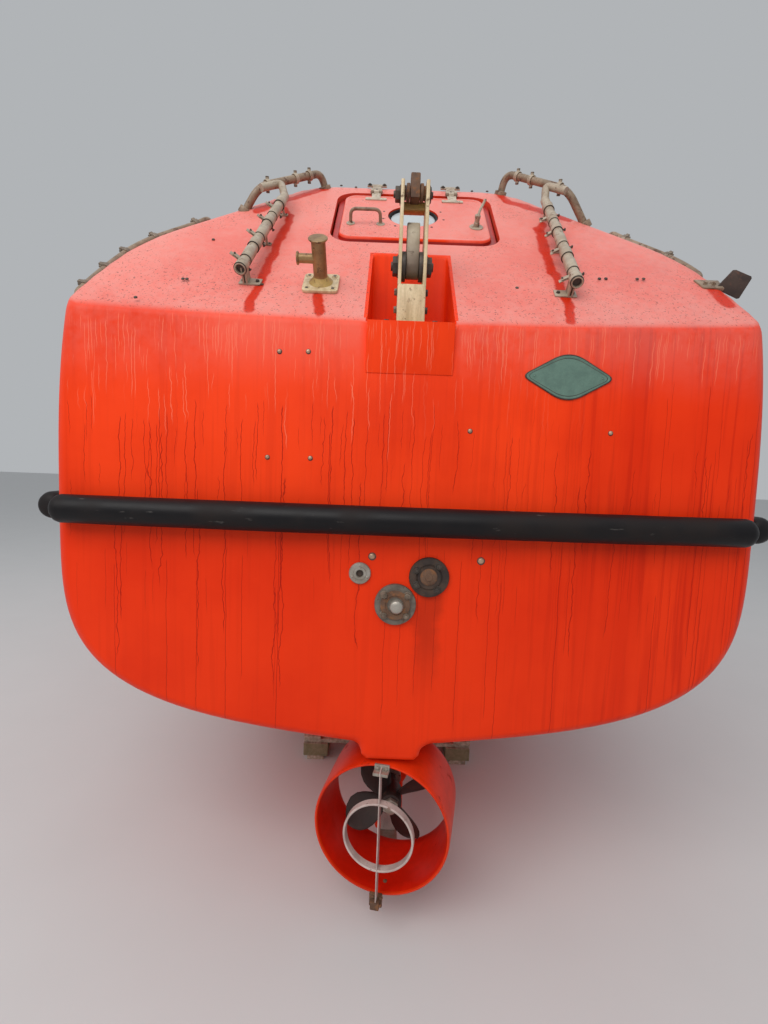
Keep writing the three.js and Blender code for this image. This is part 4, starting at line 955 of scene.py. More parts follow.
def makeHook(name, at, turn):
    place = Matrix.Translation(at) @ turned('Z', turn)
    half, thick, column = hook['half'], hook['plate'], hook['column']
    pivotY, pivotZ = hook['pivot']
    frameMesh = bmesh.new()
    addBlock(frameMesh, (-0.11, -0.09, 0), (0.11, 0.09, 0.01), 0.003, place)
    addBlock(frameMesh, (-half - 0.009, -0.054, 0.008), (half + 0.009, 0.054, 0.022), 0.007, place, 2)
    addBlock(frameMesh, (-half, -0.045, 0), (half, 0.045, column), 0.005, place, 3)
    outline = [(-0.042, column - 0.03), (0.042, column - 0.03), (0.072, pivotZ), (0.066, 0.45), (0.052, 0.5),
               (0.03, hook['top']), (-0.026, hook['top']), (-0.046, 0.5), (-0.052, 0.42), (-0.046, pivotZ)]
    for side in (-1, 1):
        low, high = sorted((side * half, side * (half - thick)))
        addPlate(frameMesh, outline, low, high, 0.0025, place @ sideways)
    makePiece(frameMesh, name + 'Frame', cream, nodes=(name,))
    cross = bmesh.new()
    low, high = hook['cross']
    addBlock(cross, (-half + 0.004, 0.02, low - 0.006), (half - 0.004, 0.06, high), 0.003, place)
    makePiece(cross, name + 'Cross', weldPaint)
    # link plate with its eye between thick bushes, on one long pin
    link = bmesh.new()
    eye = [(-0.034, 0.447), (0.03, 0.447), (0.036, 0.49), (0.026, 0.535), (0.012, hook['linkTop']),
           (-0.014, hook['linkTop']), (-0.03, 0.53), (-0.038, 0.49)]
    addPlate(link, eye, -0.0165, 0.0165, 0.004, place @ sideways)
    for side in (-1, 1):
        for start, end, radius, edge in ((0.018, 0.03, 0.031, 0.003), (0.031, 0.037, 0.024, 0.002)):
            addRod(link, (side * start, 0, hook['pin']), (side * end, 0, hook['pin']), radius, edge, place)
    makePiece(link, name + 'Link', rusty)
    # pin ends and nuts, paler to port
    bolts, nuts = bmesh.new(), bmesh.new()
    for side in (-1, 1):
        topDepth = 0.02 if side < 0 else 0.008
        for y, z, radius, depth in ((0, hook['bolt'], 0.026, topDepth), (pivotY, pivotZ, 0.034, 0.02)):
            for out, size, edge, sides in ((0.004, radius + 0.004, 0.001, 28), (depth, radius, 0.003, 6),
                                           (depth + 0.006, radius * 0.45, 0.002, 20)):
                addRod(bolts, (side * half, y, z), (side * (half + out), y, z), size, edge, place, sides)
        for y, z in ((0.012, 0.14), (-0.004, 0.073)):
            head = nuts if side < 0 else bolts
            for out, size, edge, sides in ((0.002, 0.015, 0.0008, 20), (0.011, 0.012, 0.0015, 6)):
                addRod(head, (side * half, y, z), (side * (half + out), y, z), size, edge, place, sides)
        # the dark bush that fills the gap beside the tongue; its dark steel also stands in for the shade in that gap
        addRod(bolts, (side * (hook['tongueHalf'] + 0.0008), pivotY, pivotZ),
               (side * (half - thick + 0.001), pivotY, pivotZ), 0.05, 0.001, place)
        for y in (-0.062, 0.062):
            addHexBolt(bolts, place @ shift(side * 0.085, y, 0.01), 0.022, 0.009, 0.016)
    makePiece(bolts, name + 'Bolts', darkBolt)
    makePiece(nuts, name + 'Nuts', oldNut)
    tongue = bmesh.new()
    shape = [(0.038 * cos(a), 0.042 * sin(a)) for a in [pi + pi * i / 12 for i in range(13)]]
    shape += [(0.024, 0.13), (0.016, hook['tongueTop'] - pivotZ), (-0.01, hook['tongueTop'] - pivotZ), (-0.026, 0.12)]
    width = hook['tongueHalf']
    addPlate(tongue, shape, -width, width, 0.004, place @ shift(0, pivotY, pivotZ) @ sideways)
    makePiece(tongue, name + 'Tongue', tongueSteel, body=name + '_tongue', nodes=(name + '_tongue',))


makeHook('aft_hook', (0, 0.12, form['aftTop']), 0)
makeHook('fore_hook', (0, well['foreStart'] + 0.26, well['foreFloor']), pi)
print('wells and hooks made')

# Bollards: a post on a square plate with four screws, a cap and a stub to one side
bollard = {'plate': 0.13, 'screws': 0.047, 'post': 0.025, 'cap': 0.034, 'capTop': 0.17, 'stub': 0.095,
           'stubEnd': 0.08}


def makeBollard(name, slope, x, s):
    place = slope @ shift(x, s, 0)
    base, screws, post = bmesh.new(), bmesh.new(), bmesh.new()
    addPlate(base, roundedOutline(bollard['plate'], bollard['plate'], 0.016, 5), 0.0005, 0.012, 0.002, place)
    out = bollard['screws']
    for x, y in ((-out, -out), (-out, out), (out, -out), (out, out)):
        addRod(base, (x, y, 0.011), (x, y, 0.0135), 0.0105, 0.0008, place, 20)
        addRod(screws, (x, y, 0.0125), (x, y, 0.0139), 0.0065, 0.0003, place, 16)
    makePiece(base, name + 'Plate', cream, nodes=(name,))
    makeTurned([(0.024, 0.01), (0.044, 0.0115), (0.041, 0.016), (0.033, 0.021), (0.0285, 0.03), (0.024, 0.034)],
               place, 36, name + 'Weld', weldPaint)
    makePiece(screws, name + 'Screws', darkBolt)
    radius, cap, top = bollard['post'], bollard['cap'], bollard['capTop']
    addTurned(post, [(0, 0.006), (radius, 0.006), (radius, top - 0.014), (radius + 0.002, top - 0.0115),
                     (cap - 0.002, top - 0.0105), (cap, top - 0.008), (cap, top - 0.005), (cap - 0.002, top - 0.0035),
                     (0, top - 0.003)], place, 40)
    stub = place @ shift(0, 0, bollard['stub']) @ turned('Y', -pi / 2)
    end = bollard['stubEnd']
    addTurned(post, [(0, 0.01), (0.0165, 0.01), (0.0165, end - 0.008), (0.0215, end - 0.0065), (0.0225, end - 0.005),
                     (0.0225, end - 0.0015), (0.021, end), (0, end)], stub, 32)
    makePiece(post, name + 'Post', brass)


makeBollard('aft_bollard', aftSlope, -0.33, 0.235)
makeBollard('fore_bollard', foreSlope, -0.33, 0.9)

# Ladder rails up the aft slope: lower end, upper end as (x, s), and the lean of their clamp tabs in degrees
ladder = {'port': ((-0.612, 0.205), (-0.56, 0.91), 38), 'starboard': ((0.586, 0.195), (0.606, 0.97), -28),
          'lift': 0.062, 'tube': 0.0195, 'feet': (0.045, 0.5, 0.93),
          'sleeves': ((0.035, 0.04, 0.004), (0.16, 0.08, 0.0025), (0.29, 0.05, 0.0035), (0.44, 0.085, 0.002),
                      (0.59, 0.05, 0.0035), (0.73, 0.08, 0.002), (0.88, 0.05, 0.0035)),
          'tabs': ((0.07, 0.036), (0.36, 0.032), (0.57, 0.03), (0.76, 0.03))}


def makeLadderRail(word):
    (x0, s0), (x1, s1), tilt = ladder[word]
    inboard = 1 if x0 < 0 else -1
    lift, radius = ladder['lift'], ladder['tube']
    start, end = Vector((x0, s0, lift)), Vector((x1, s1, lift))
    span = (end - start).length
    lean = atan2(x1 - x0, s1 - s0)
    # drawn along z from the lower end, its y out of the slope
    place = aftSlope @ Matrix.Translation(start) @ turned('Z', -lean) @ turned('X', -pi / 2)
    tube, seams = bmesh.new(), bmesh.new()
    profile = [(radius - 0.003, 0.06), (radius - 0.003, 0.001), (radius - 0.0015, 0), (radius + 0.0015, 0.001)]
    # sleeves: the share of the length at their middles, half length, swelling
    for share, wide, swell in ladder['sleeves']:
        at = span * share
        wide, swell = wide / 2, radius + swell
        profile += [(radius, at - wide), (swell - 0.001, at - wide + 0.001), (swell, at - wide + 0.003),
                    (swell, at + wide - 0.003), (swell - 0.001, at + wide - 0.001), (radius, at + wide)]
        addTurned(seams, [(radius + 0.0004, at - wide - 0.0022), (swell + 0.0004, at - wide - 0.0018),
                          (swell + 0.0006, at - wide + 0.0006), (swell, at - wide + 0.0016)], place, 28)
    profile += [(radius, span), (0, span)]
    addTurned(tube, profile, place, 32)
    # flat clamp tabs that stick out, each with a small pin on the other side
    for share, reach in ladder['tabs']:
        strap = place @ shift(0, 0, span * share) @ turned('Z', radians(tilt))
        tip = -radius - reach
        addBlock(tube, (tip, -0.003, -0.009), (-radius + 0.004, 0.0, 0.009), 0.0008, strap)
        addBlock(tube, (tip + 0.01, -0.0085, -0.009), (-radius + 0.004, -0.0055, 0.009), 0.0008, strap)
        pinX = -radius - reach * 0.6
        head = (radius + 0.013, 0.01, 0.004)
        addRod(seams, (pinX, -0.013, 0), (pinX, 0.004, 0), 0.0035, 0.0008, strap, 10)
        addRod(seams, (radius - 0.002, 0.004, 0.004), head, 0.003, 0.0006, strap, 10)
        addRod(seams, (radius + 0.008, 0.008, 0.004), head, 0.006, 0.001, strap, 6)
    # feet: a web and a plate on the slope, the lowest one larger
    for number, share in enumerate(ladder['feet']):
        at = span * share
        half = 0.04 if number == 0 else 0.018
        middle = inboard * 0.02 if number == 0 else 0
        deep = half * 0.55
        back, fore = at - deep, at + deep
        addBlock(tube, (-0.003, 0.0, back), (0.003, lift - 0.003, fore), 0.001, place)
        addBlock(tube, (middle - half, lift - 0.006, back), (middle + half, lift - 0.0004, fore), 0.0012, place)
        if number == 0:
            web = inboard * 0.012
            addBlock(tube, (web - 0.003, 0.012, back), (web + 0.003, lift - 0.003, fore), 0.001, place)
        for x in (middle - half * 0.66, middle + half * 0.66):
            head = place @ shift(x, lift - 0.006, at) @ turned('X', pi / 2)
            addHexBolt(seams, head, half * 0.3, half * 0.12, half * 0.19)
    makePiece(tube, 'ladderRail' + word.title(), rail, nodes=('ladder_rail_' + word,))
    addRod(seams, (0, 0, 0.012), (0, 0, 0.055), radius - 0.0028, 0, place)
    makePiece(seams, 'ladderFasteners' + word.title(), darkBolt)


# Bent cross rails over the roof's edge: outer foot, two corners, inner foot
crossRail = {'tube': 0.017, 'shares': (0.13, 0.57, 0.8),
             'port': ((-0.75, 0.655, 2.91), (-0.683, 0.63, 3.006), (-0.438, 0.85, 3.19), (-0.418, 0.885, 3.135)),
             'starboard': ((0.798, 0.66, 2.905), (0.702, 0.625, 3.037), (0.468, 0.857, 3.224), (0.452, 0.895, 3.145))}


# A clamp band's section, its rims rounded
def bandOf(inside, outside, half):
    right = [(outside, half - 0.002), (outside - 0.001, half), (inside, half)]
    return [(r, -h) for r, h in reversed(right)] + right


def makeCrossRail(word):
    outer, low, high, inner = [Vector(p) for p in crossRail[word]]
    bar, clamps, bolts = bmesh.new(), bmesh.new(), bmesh.new()
    path = [outer + (outer - low) * 0.2, low, high, inner + (inner - high) * 0.2]
    addTube(bar, path, crossRail['tube'], 0.055, sides=24)
    run = high - low
    # the ladder rail's upper end, bent over to lap the bar as far as its outer bend
    elbow, lap = bmesh.new(), Vector((0, -0.022, -0.02))
    (x0, s0), (x1, s1) = ladder[word][:2]
    below, above = [aftSlope @ Vector((x0 + (x1 - x0) * k, s0 + (s1 - s0) * k, ladder['lift'])) for k in (0.93, 1.0)]
    addTube(elbow, [below, above, low + run * 0.36 + lap, low + run * 0.05 + lap], 0.0172, 0.035, sides=20)
    makePiece(elbow, 'crossElbow' + word.title(), rail)
    for foot, head in ((outer, low), (inner, high)):
        way = (head - foot).normalized()
        addRod(bar, foot - way * 0.016, foot + way * 0.014, 0.029, 0.003)
    makePiece(bar, 'crossRail' + word.title(), railBrown, nodes=('top_rail_' + word,))
    up = Vector((0, -0.35, 1)).normalized()
    for share in crossRail['shares']:
        spot = low + run * share
        addTurned(clamps, bandOf(0.019, 0.0225, 0.009), Matrix.Translation(spot) @ turnTo(run), 28)
        for way in (-1, 1):
            addRod(clamps, spot + up * way * 0.018, spot + up * way * 0.027, 0.008, 0.001, sides=16)
            addRod(bolts, spot + up * way * 0.025, spot + up * way * 0.033, 0.0085, 0.0015, sides=6)
    makePiece(clamps, 'crossClamps' + word.title(), rail)
    makePiece(bolts, 'crossBolts' + word.title(), oldNut)


# Rails behind the slope's edges, then along the shoulders
sideRail = {'start': {'port': 0.18, 'starboard': 0.4}, 'edgePosts': (0.2, 0.3, 0.395, 0.5, 0.61), 'drop': 0.03,
            'behind': 0.055, 'edgeLift': 0.03, 'lift': 0.07, 'rise': 0.62, 'turn': 0.82, 'end': 5.1, 'posts': 8,
            'angle': radians(48), 'tube': 0.0155}


def archPoint(y, angle, lift):
    across, high = archShare(angle)
    return Vector(((along(1, y) + lift) * across, y, form['gunwale'] + (form['arch'] + lift) * high))


def railAngle(y):
    low, high = 0.0, sideRail['angle']
    for _ in range(20):
        middle = (low + high) / 2
        if archPoint(y, middle, 0).z < form['aftTop'] + y - sideRail['behind'] - sideRail['drop']:
            low = middle
        else:
            high = middle
    return high


def makeSideRail(word, side):
    r = sideRail
    mirror = Matrix.Diagonal((side, 1, 1, 1))
    bar, feet, cleats = bmesh.new(), bmesh.new(), bmesh.new()
    start = r['start'][word]

    def railPoint(y, share=1.0):
        ease = min(max((y - r['rise']) / (r['turn'] - r['rise']), 0), 1)
        lift = r['edgeLift'] + (r['lift'] - r['edgeLift']) * ease
        at = mirror @ archPoint(y, railAngle(y), lift * share)
        return at + Vector((flare(at.x, y), 0, 0))
    ys = [start + (r['turn'] - start) * i / 16 for i in range(16)]
    ys += [r['turn'] + (r['end'] - r['turn']) * i / 44 for i in range(45)]
    last = mirror @ archPoint(r['end'] + 0.09, r['angle'], -0.005)
    addTube(bar, [railPoint(start - 0.015, 0.0)] + [railPoint(y) for y in ys] + [last], r['tube'], 0.04, sides=20)
    places = [y for y in r['edgePosts'] if y > start]
    places += [r['turn'] + (r['end'] - r['turn']) * i / (r['posts'] - 1) for i in range(r['posts'])]
    for y in places:
        foot, head = railPoint(y, -0.06), railPoint(y)
        addRod(bar, foot, head, 0.0115, 0.0005, sides=20)
        up = (head - foot).normalized()
        addRod(feet, foot, foot + up * 0.011, 0.028, 0.002)
        addRod(feet, head - up * 0.024, head - up * 0.012, 0.016, 0.002)
        for way in (-0.019, 0.019):
            bolt = foot + Vector((0, way, 0))
            addRod(feet, bolt + up * 0.008, bolt + up * 0.014, 0.0055, 0.001, sides=6)
        if y < r['turn'] - 0.1:
            # a clamp round the tube, its two tabs standing up with a bolt through them
            run = (railPoint(y + 0.02) - railPoint(y - 0.02)).normalized()
            at = head + run * 0.032
            addTurned(cleats, [(0.015, -0.01), (0.0185, -0.01), (0.0195, -0.007), (0.0195, 0.007), (0.0185, 0.01),
                               (0.015, 0.01)], Matrix.Translation(at) @ turnTo(run), 24)
            flap = Matrix.Translation(at + up * 0.022) @ turnTo(run)
            addBlock(cleats, (-0.009, -0.009, -0.008), (0.009, 0.009, 0.008), 0.0015, flap)
            addRod(cleats, (0, 0, -0.016), (0, 0, 0.016), 0.005, 0.001, flap, 12)
    makePiece(bar, 'sideRail' + word.title(), railBrown, nodes=('side_rail_' + word,))
    makePiece(feet, 'sideRailFeet' + word.title(), rail)
    makePiece(cleats, 'sideRailClamps' + word.title(), oldNut, slot='cream_steel')


for word in ('port', 'starboard'):
    makeLadderRail(word)
for word in ('port', 'starboard'):
    makeCrossRail(word)
makeSideRail('port', -1)
makeSideRail('starboard', 1)
print('rails made')


# The bent bracket at the transom's starboard shoulder
def makeBracket():
    base = bmesh.new()
    place = aftSlope @ shift(1.137, 0.345, 0)
    # the base: its port end is cut off slantwise
    outline = [(-0.031, -0.027), (-0.026, -0.031), (0.048, -0.031), (0.048, 0.031), (-0.042, 0.031), (-0.046, 0.029)]
    addPlate(base, outline, -0.008, 0.006, 0.0015, place)
    for x in (-0.012, 0.02):
        addHexBolt(base, place @ shift(x, 0.002, 0.006), 0.013, 0.005, 0.009)
    makePiece(base, 'bracketBase', railBrown, nodes=('corner_bracket',))
    wing = bmesh.new()
    # (x, z) corners of the standing plate, bent over at its lower edge
    corners = [(1.16, 2.498), (1.167, 2.493), (1.244, 2.461), (1.252, 2.463), (1.292, 2.536), (1.29, 2.544),
               (1.23, 2.566), (1.219, 2.565)]
    stand = shift(0, 0.232, 0) @ turned('X', pi / 2)
    addPlate(wing, corners, -0.003, 0.003, 0.001, stand)
    makePiece(wing, 'bracketWing', darkPlate)


makeBracket()

# Pipe flanges on the transom: each is drawn about its own z, which points aft
flangePlace = {'exhaust': (-0.017, 1.291), 'inlet': (0.099, 1.393), 'drain': (-0.146, 1.398)}


def facingAft(x, z, y=0.0):
    return shift(x, y + camberAt(x, 0), z) @ turned('X', pi / 2)


def nutAt(bm, place, x, y, level, across=0.019, tall=0.01, stud=0.006):
    here = place @ shift(x, y, level)
    addRod(bm, (0, 0, 0), (0, 0, 0.0018), across * 0.68, 0.0005, here, 20)
    addRod(bm, (0, 0, 0.0012), (0, 0, tall), across / 2, 0.0015, here, 6)
    addRod(bm, (0, 0, 0.002), (0, 0, tall + stud), across * 0.24, 0.0008, here, 14)


def makeExhaust():
    place = facingAft(*flangePlace['exhaust'])
    makeTurned([(0, 0), (0.074, 0), (0.074, 0.01), (0.0725, 0.0125), (0.057, 0.0135), (0.056, 0.0165), (0.0545, 0.018),
                (0, 0.018)], place, 56, 'exhaustDisc', flangeGrey, nodes=('exhaust_flange',))
    makeTurned([(0.029, 0.016), (0.0525, 0.016), (0.0525, 0.021), (0.051, 0.0225), (0.036, 0.0235), (0.034, 0.021),
                (0.029, 0.0205)], place, 48, 'exhaustRing', rusty, slot='flange_metal')
    makeTurned([(0.0, 0.036), (0.006, 0.036), (0.018, 0.0345), (0.0225, 0.031), (0.0245, 0.026), (0.0265, 0.018),
                (0.0265, 0.012), (0, 0.012)], place @ shift(0.004, -0.005, 0), 40, 'exhaustBoss', bare,
               slot='flange_metal')
    nuts = bmesh.new()
    for x, y in onCircle(0.0535, (40, 138, 222, 318)):
        nutAt(nuts, place, x, y, 0.0165, 0.023, 0.013, 0.007)
    makePiece(nuts, 'exhaustNuts', oldNut, slot='flange_metal')


def makeInlet():
    place = facingAft(*flangePlace['inlet'])
    makeTurned([(0, 0), (0.071, 0), (0.071, 0.011), (0.069, 0.014), (0.047, 0.015), (0.045, 0.0125), (0.043, 0.0125),
                (0.041, 0.0165), (0, 0.0165)], place, 56, 'inletDisc', sooty, nodes=('inlet_flange',))
    makeTurned([(0, 0.0245), (0.012, 0.0245), (0.014, 0.022), (0.026, 0.021), (0.03, 0.0185), (0.031, 0.014),
                (0, 0.014)], place @ shift(-0.002, 0.002, 0), 40, 'inletCap', rusty, slot='flange_metal')
    nuts = bmesh.new()
    for x, y in onCircle(0.0525, (52, 150, 212, 305)):
        nutAt(nuts, place, x, y, 0.0135, 0.021, 0.014, 0.006)
    makePiece(nuts, 'inletNuts', darkBolt, slot='flange_metal')


def makeDrain():
    place = facingAft(*flangePlace['drain'])
    disc = bmesh.new()
    addTurned(disc, [(0.0125, -0.012), (0.0125, 0.01), (0.0145, 0.0125), (0.022, 0.0125), (0.0235, 0.01),
                     (0.036, 0.0095), (0.0385, 0.007), (0.039, 0.004), (0.039, 0)], place, 48)
    for x, y in onCircle(0.0295, (90, 205, 335)):
        addDome(disc, place @ shift(x, y, 0.0095), 0.0048, 0.0026)
    makePiece(disc, 'drainDisc', bare, slot='flange_metal', nodes=('drain_flange',))
    bore = bmesh.new()
    addRod(bore, (0, 0, -0.011), (0, 0, 0.003), 0.0127, 0, place)
    makePiece(bore, 'drainBore', sooty)


makeExhaust()
makeInlet()
makeDrain()

# Small domed bolts on the transom, at (x, z)
transomBolts = ((-0.347, 2.159), (-0.446, 2.156), (-0.482, 1.795), (-0.332, 1.797), (0.218, 1.91), (0.708, 1.921),
                (-0.105, 1.46), (0.28, 1.457))


def makeTransomBolts():
    bm, rings = bmesh.new(), bmesh.new()
    for i, (x, z) in enumerate(transomBolts):
        size = 0.011 if i > 5 else 0.0068
        here = facingAft(x, z)
        # a dark disc a little wider than each dome, set a little low and to starboard of it: a painted shadow
        addRod(rings, (0.0005, -0.001, -0.002), (0.0005, -0.001, 0.0018), size * 1.28, 0.0008, here, 24)
        addDome(bm, here @ shift(0, 0, 0.002), size, size * 0.55)
    makePiece(bm, 'transomBolts', brassBolt)
    makePiece(rings, 'transomBoltShadowRings', darkBolt)


makeTransomBolts()

# The blank data plate: a rounded lozenge with a raised border and two rivets
dataPlate = {'x': 0.547, 'z': 2.104, 'halfWidth': 0.147, 'halfHeight': 0.074}


def lozenge(inset):
    w, h = dataPlate['halfWidth'] - inset * 1.15, dataPlate['halfHeight'] - inset
    # a rhombus with wide bends above and below and tighter bends at its ends
    tall, long = h / 0.83, w / 0.92
    corners = [Vector(p) for p in ((long, 0, 0), (0, tall, 0), (-long, 0, 0), (0, -tall, 0))]
    points = []
    for i, corner in enumerate(corners):
        share = 0.34 if i % 2 else 0.16
        points += bendOf(corner.lerp(corners[i - 1], share), corner, corner.lerp(corners[(i + 1) % 4], share), 12)
    return points


def addLozenge(bm, rings, place):
    addRings(bm, [[p + Vector((0, 0, level)) for p in lozenge(inset)] for inset, level in rings], place)


def makeDataPlate():
    camberTurn = 2 * form['camber'] * dataPlate['x'] / along(1, 0) ** 2
    place = facingAft(dataPlate['x'], dataPlate['z'], -0.001) @ turned('Y', camberTurn)
    bm = bmesh.new()
    addLozenge(bm, [(0, -0.004), (0, 0.002), (0.001, 0.003), (0.0055, 0.0032), (0.0065, 0.0022), (0.02, 0.0022),
                    (0.055, 0.0022)], place)
    capEnds(bm)
    for x in (-0.118, 0.118):
        addTurned(bm, [(0.0045, 0.0018), (0.0078, 0.0018), (0.0078, 0.003), (0.0062, 0.0034), (0.0045, 0.003)],
                  place @ shift(x, 0, 0), 24)
        addDome(bm, place @ shift(x, 0, 0.0022), 0.0036, 0.002)
    makePiece(bm, 'dataPlate', plateGreen, nodes=('data_plate',))
    border = bmesh.new()
    addLozenge(border, [(-0.0028, -0.004), (-0.0028, 0.0026), (-0.0015, 0.0036), (0.0012, 0.0036), (0.002, 0.0026)],
               place)
    addLozenge(border, [(0.0095, 0.0012), (0.0095, 0.0027), (0.0112, 0.0027), (0.0112, 0.0012)], place)
    makePiece(border, 'plateEdge', darkBolt, slot='plate_green')


makeDataPlate()
print('transom fittings made')

# Fenders: a round rubber section run along points of the gunwale
fender = {'radius': 0.051, 'out': 0.041, 'high': 1.59, 'endShare': 0.965, 'first': 0.12}


def addFender(bm, points, wave):
    last = len(points) - 1
    caps = ((0.046, 0.05), (0.044, 0.4), (0.037, 0.72), (0.024, 0.91), (0.01, 0.99))
    path = []
    for i, at in enumerate(points):
        way = (points[min(i + 1, last)] - points[max(i - 1, 0)]).normalized()
        out = Vector((way.y, -way.x, 0))
        dent = 1 + wave * (noise.noise(at * 2.3) + 0.5 * noise.noise(at * 7))
        here = [(at, out, dent)]
        if i == 0:
            here = [(at - way * step, out, share) for step, share in caps] + here
        if i == last:
            here += [(at + way * step, out, share) for step, share in reversed(caps)]
        path += here
    addRings(bm, [circleAt(at + out * fender['out'] * (0.6 + 0.4 * min(share, 1)), out, Vector((0, 0, 1)),
                           fender['radius'] * share, 28) for at, out, share in path])
    capEnds(bm)


def makeFenders():
    bm = bmesh.new()
    xs = [along(1, 0) * fender['endShare'] * (2 * i / 60 - 1) for i in range(61)]
    addFender(bm, [Vector((x, camberAt(x, 0), fender['high'])) for x in xs], 0.022)
    makePiece(bm, 'transomFender', rubber, nodes=('fender_transom',))
    bm = bmesh.new()
    first = fender['first']
    ys = [first + (form['length'] - first) * (1 - (1 - i / 90) ** 1.35) for i in range(91)]
    starboard = [Vector((along(1, y), y, fender['high'])) for y in ys]
    port = [Vector((-p.x, p.y, p.z)) for p in reversed(starboard)]
    starboard = [p + Vector((flare(p.x, p.y), 0, 0)) for p in starboard]
    addFender(bm, starboard + port, 0.018)
    makePiece(bm, 'sideFender', rubber, nodes=('fender_side',))


makeFenders()


# A hatch lid in its sunken frame: (offset from its outline, height) from the middle of the top round to the underside
lidRings = ((-0.2, 0.0035), (-0.12, 0.003), (-0.062, 0.0012), (-0.054, 0.001), (-0.048, 0.0028), (-0.042, 0.0042),
            (-0.036, 0.0036), (-0.0315, 0.0008), (-0.029, -0.0045), (-0.0275, -0.012), (-0.0245, -0.0165),
            (-0.019, -0.018), (-0.004, -0.018), (-0.001, -0.019), (0.0, -0.0215), (0.0, -0.0285), (-0.004, -0.029),
            (-0.2, -0.029))
grooveDepth = (-0.0285, -0.006)
port = {'radius': 0.113, 'x': -0.006, 'y': 0.006, 'screwRing': 0.139, 'screws': (25, -12, -55, -125, 196, 162, 115, 65)}
hingeAxis = {'beyond': 0.003, 'lift': 0.009}


def makeLidPanel(name, hatch, place):
    bm = bmesh.new()
    size = hatch['width'], hatch['height'], hatch['corner']
    addRings(bm, [frameRing(*size, offset, level) for offset, level in lidRings])
    capEnds(bm)
    # the groove's faces take the darker red, which is partly painted shade
    for face in bm.faces:
        if grooveDepth[0] < face.calc_center_median().z < grooveDepth[1]:
            face.material_index = 1
    bmesh.ops.transform(bm, matrix=place, verts=bm.verts)
    return makePiece(bm, name, hatchOrange, body=name, nodes=(name,), extra=(shadedGrooveRed,))


def makeHinges(bodyName, label, hatch, place):
    moving, fixed, bolts, pins = bmesh.new(), bmesh.new(), bmesh.new(), bmesh.new()
    axis, lift = hatch['height'] / 2 + hingeAxis['beyond'], hingeAxis['lift']
    for side in (-1, 1):
        x = side * hatch['hinge']
        # strap and foot bar on the lid
        addBlock(moving, (x - 0.021, axis - 0.08, 0.003), (x + 0.021, axis - 0.016, 0.0085), 0.0012, place)
        addBlock(moving, (x - 0.05, axis - 0.09, 0.0015), (x + 0.05, axis - 0.066, 0.0075), 0.0016, place)
        addBlock(moving, (x - 0.013, axis - 0.024, 0.003), (x + 0.013, axis, 0.0085), 0.001, place)
        addRod(moving, (x - 0.013, axis, lift), (x + 0.013, axis, lift), 0.009, 0.001, place)
        # lugs, strap and head bar on the canopy
        for lug in (x - 0.0205, x + 0.0205):
            addBlock(fixed, (lug - 0.007, axis - 0.007, 0), (lug + 0.007, axis + 0.03, 0.018), 0.002, place)
        addBlock(fixed, (x - 0.021, axis + 0.012, -0.001), (x + 0.021, axis + 0.1, 0.0055), 0.0012, place)
        addBlock(fixed, (x - 0.048, axis + 0.086, -0.001), (x + 0.048, axis + 0.11, 0.0065), 0.0016, place)
        addRod(pins, (x - 0.029, axis, lift), (x + 0.029, axis, lift), 0.0048, 0.001, place, 16)
        for dx in (-0.036, 0.036):
            nutAt(bolts, place, x + dx, axis + 0.098, 0.006, 0.017, 0.006, 0.002)
        addDome(pins, place @ shift(x, axis + 0.045, 0.0055), 0.005, 0.0025)
        for dx, dy, level in ((0, -0.05, 0.0085), (-0.034, -0.078, 0.0075), (0.034, -0.078, 0.0075)):
            addDome(moving, place @ shift(x + dx, axis + dy, level), 0.0045, 0.0022)
    makePiece(moving, label + 'Straps', railPale, body=bodyName)
    makePiece(fixed, label + 'HingeBars', rail)
    makePiece(bolts, label + 'HingeBolts', darkBolt)
    makePiece(pins, label + 'HingePins', darkBolt)


grip = {'height': 0.062, 'radius': 0.0072, 'bend': 0.026}


def makeGrip(name, bodyName, place, x0, x1, y):
    bar, feet = bmesh.new(), bmesh.new()
    level, high, radius = -0.001, grip['height'], grip['radius']
    path = [(x0, y, level), (x0 + 0.002, y, high), (x1 - 0.002, y, high), (x1, y, level)]
    addTube(bar, path, radius, grip['bend'], place)
    for x in (x0, x1):
        addTurned(feet, [(0.0, -0.001), (0.019, -0.001), (0.019, 0.0035), (0.017, 0.005), (0.01, 0.0055),
                         (radius + 0.002, 0.009), (0, 0.01)], place @ shift(x, y, 0.001), 28)
    makePiece(bar, name, railBrown, body=bodyName, nodes=(bodyName + '_handle',))
    makePiece(feet, name + 'Feet', rail, body=bodyName)


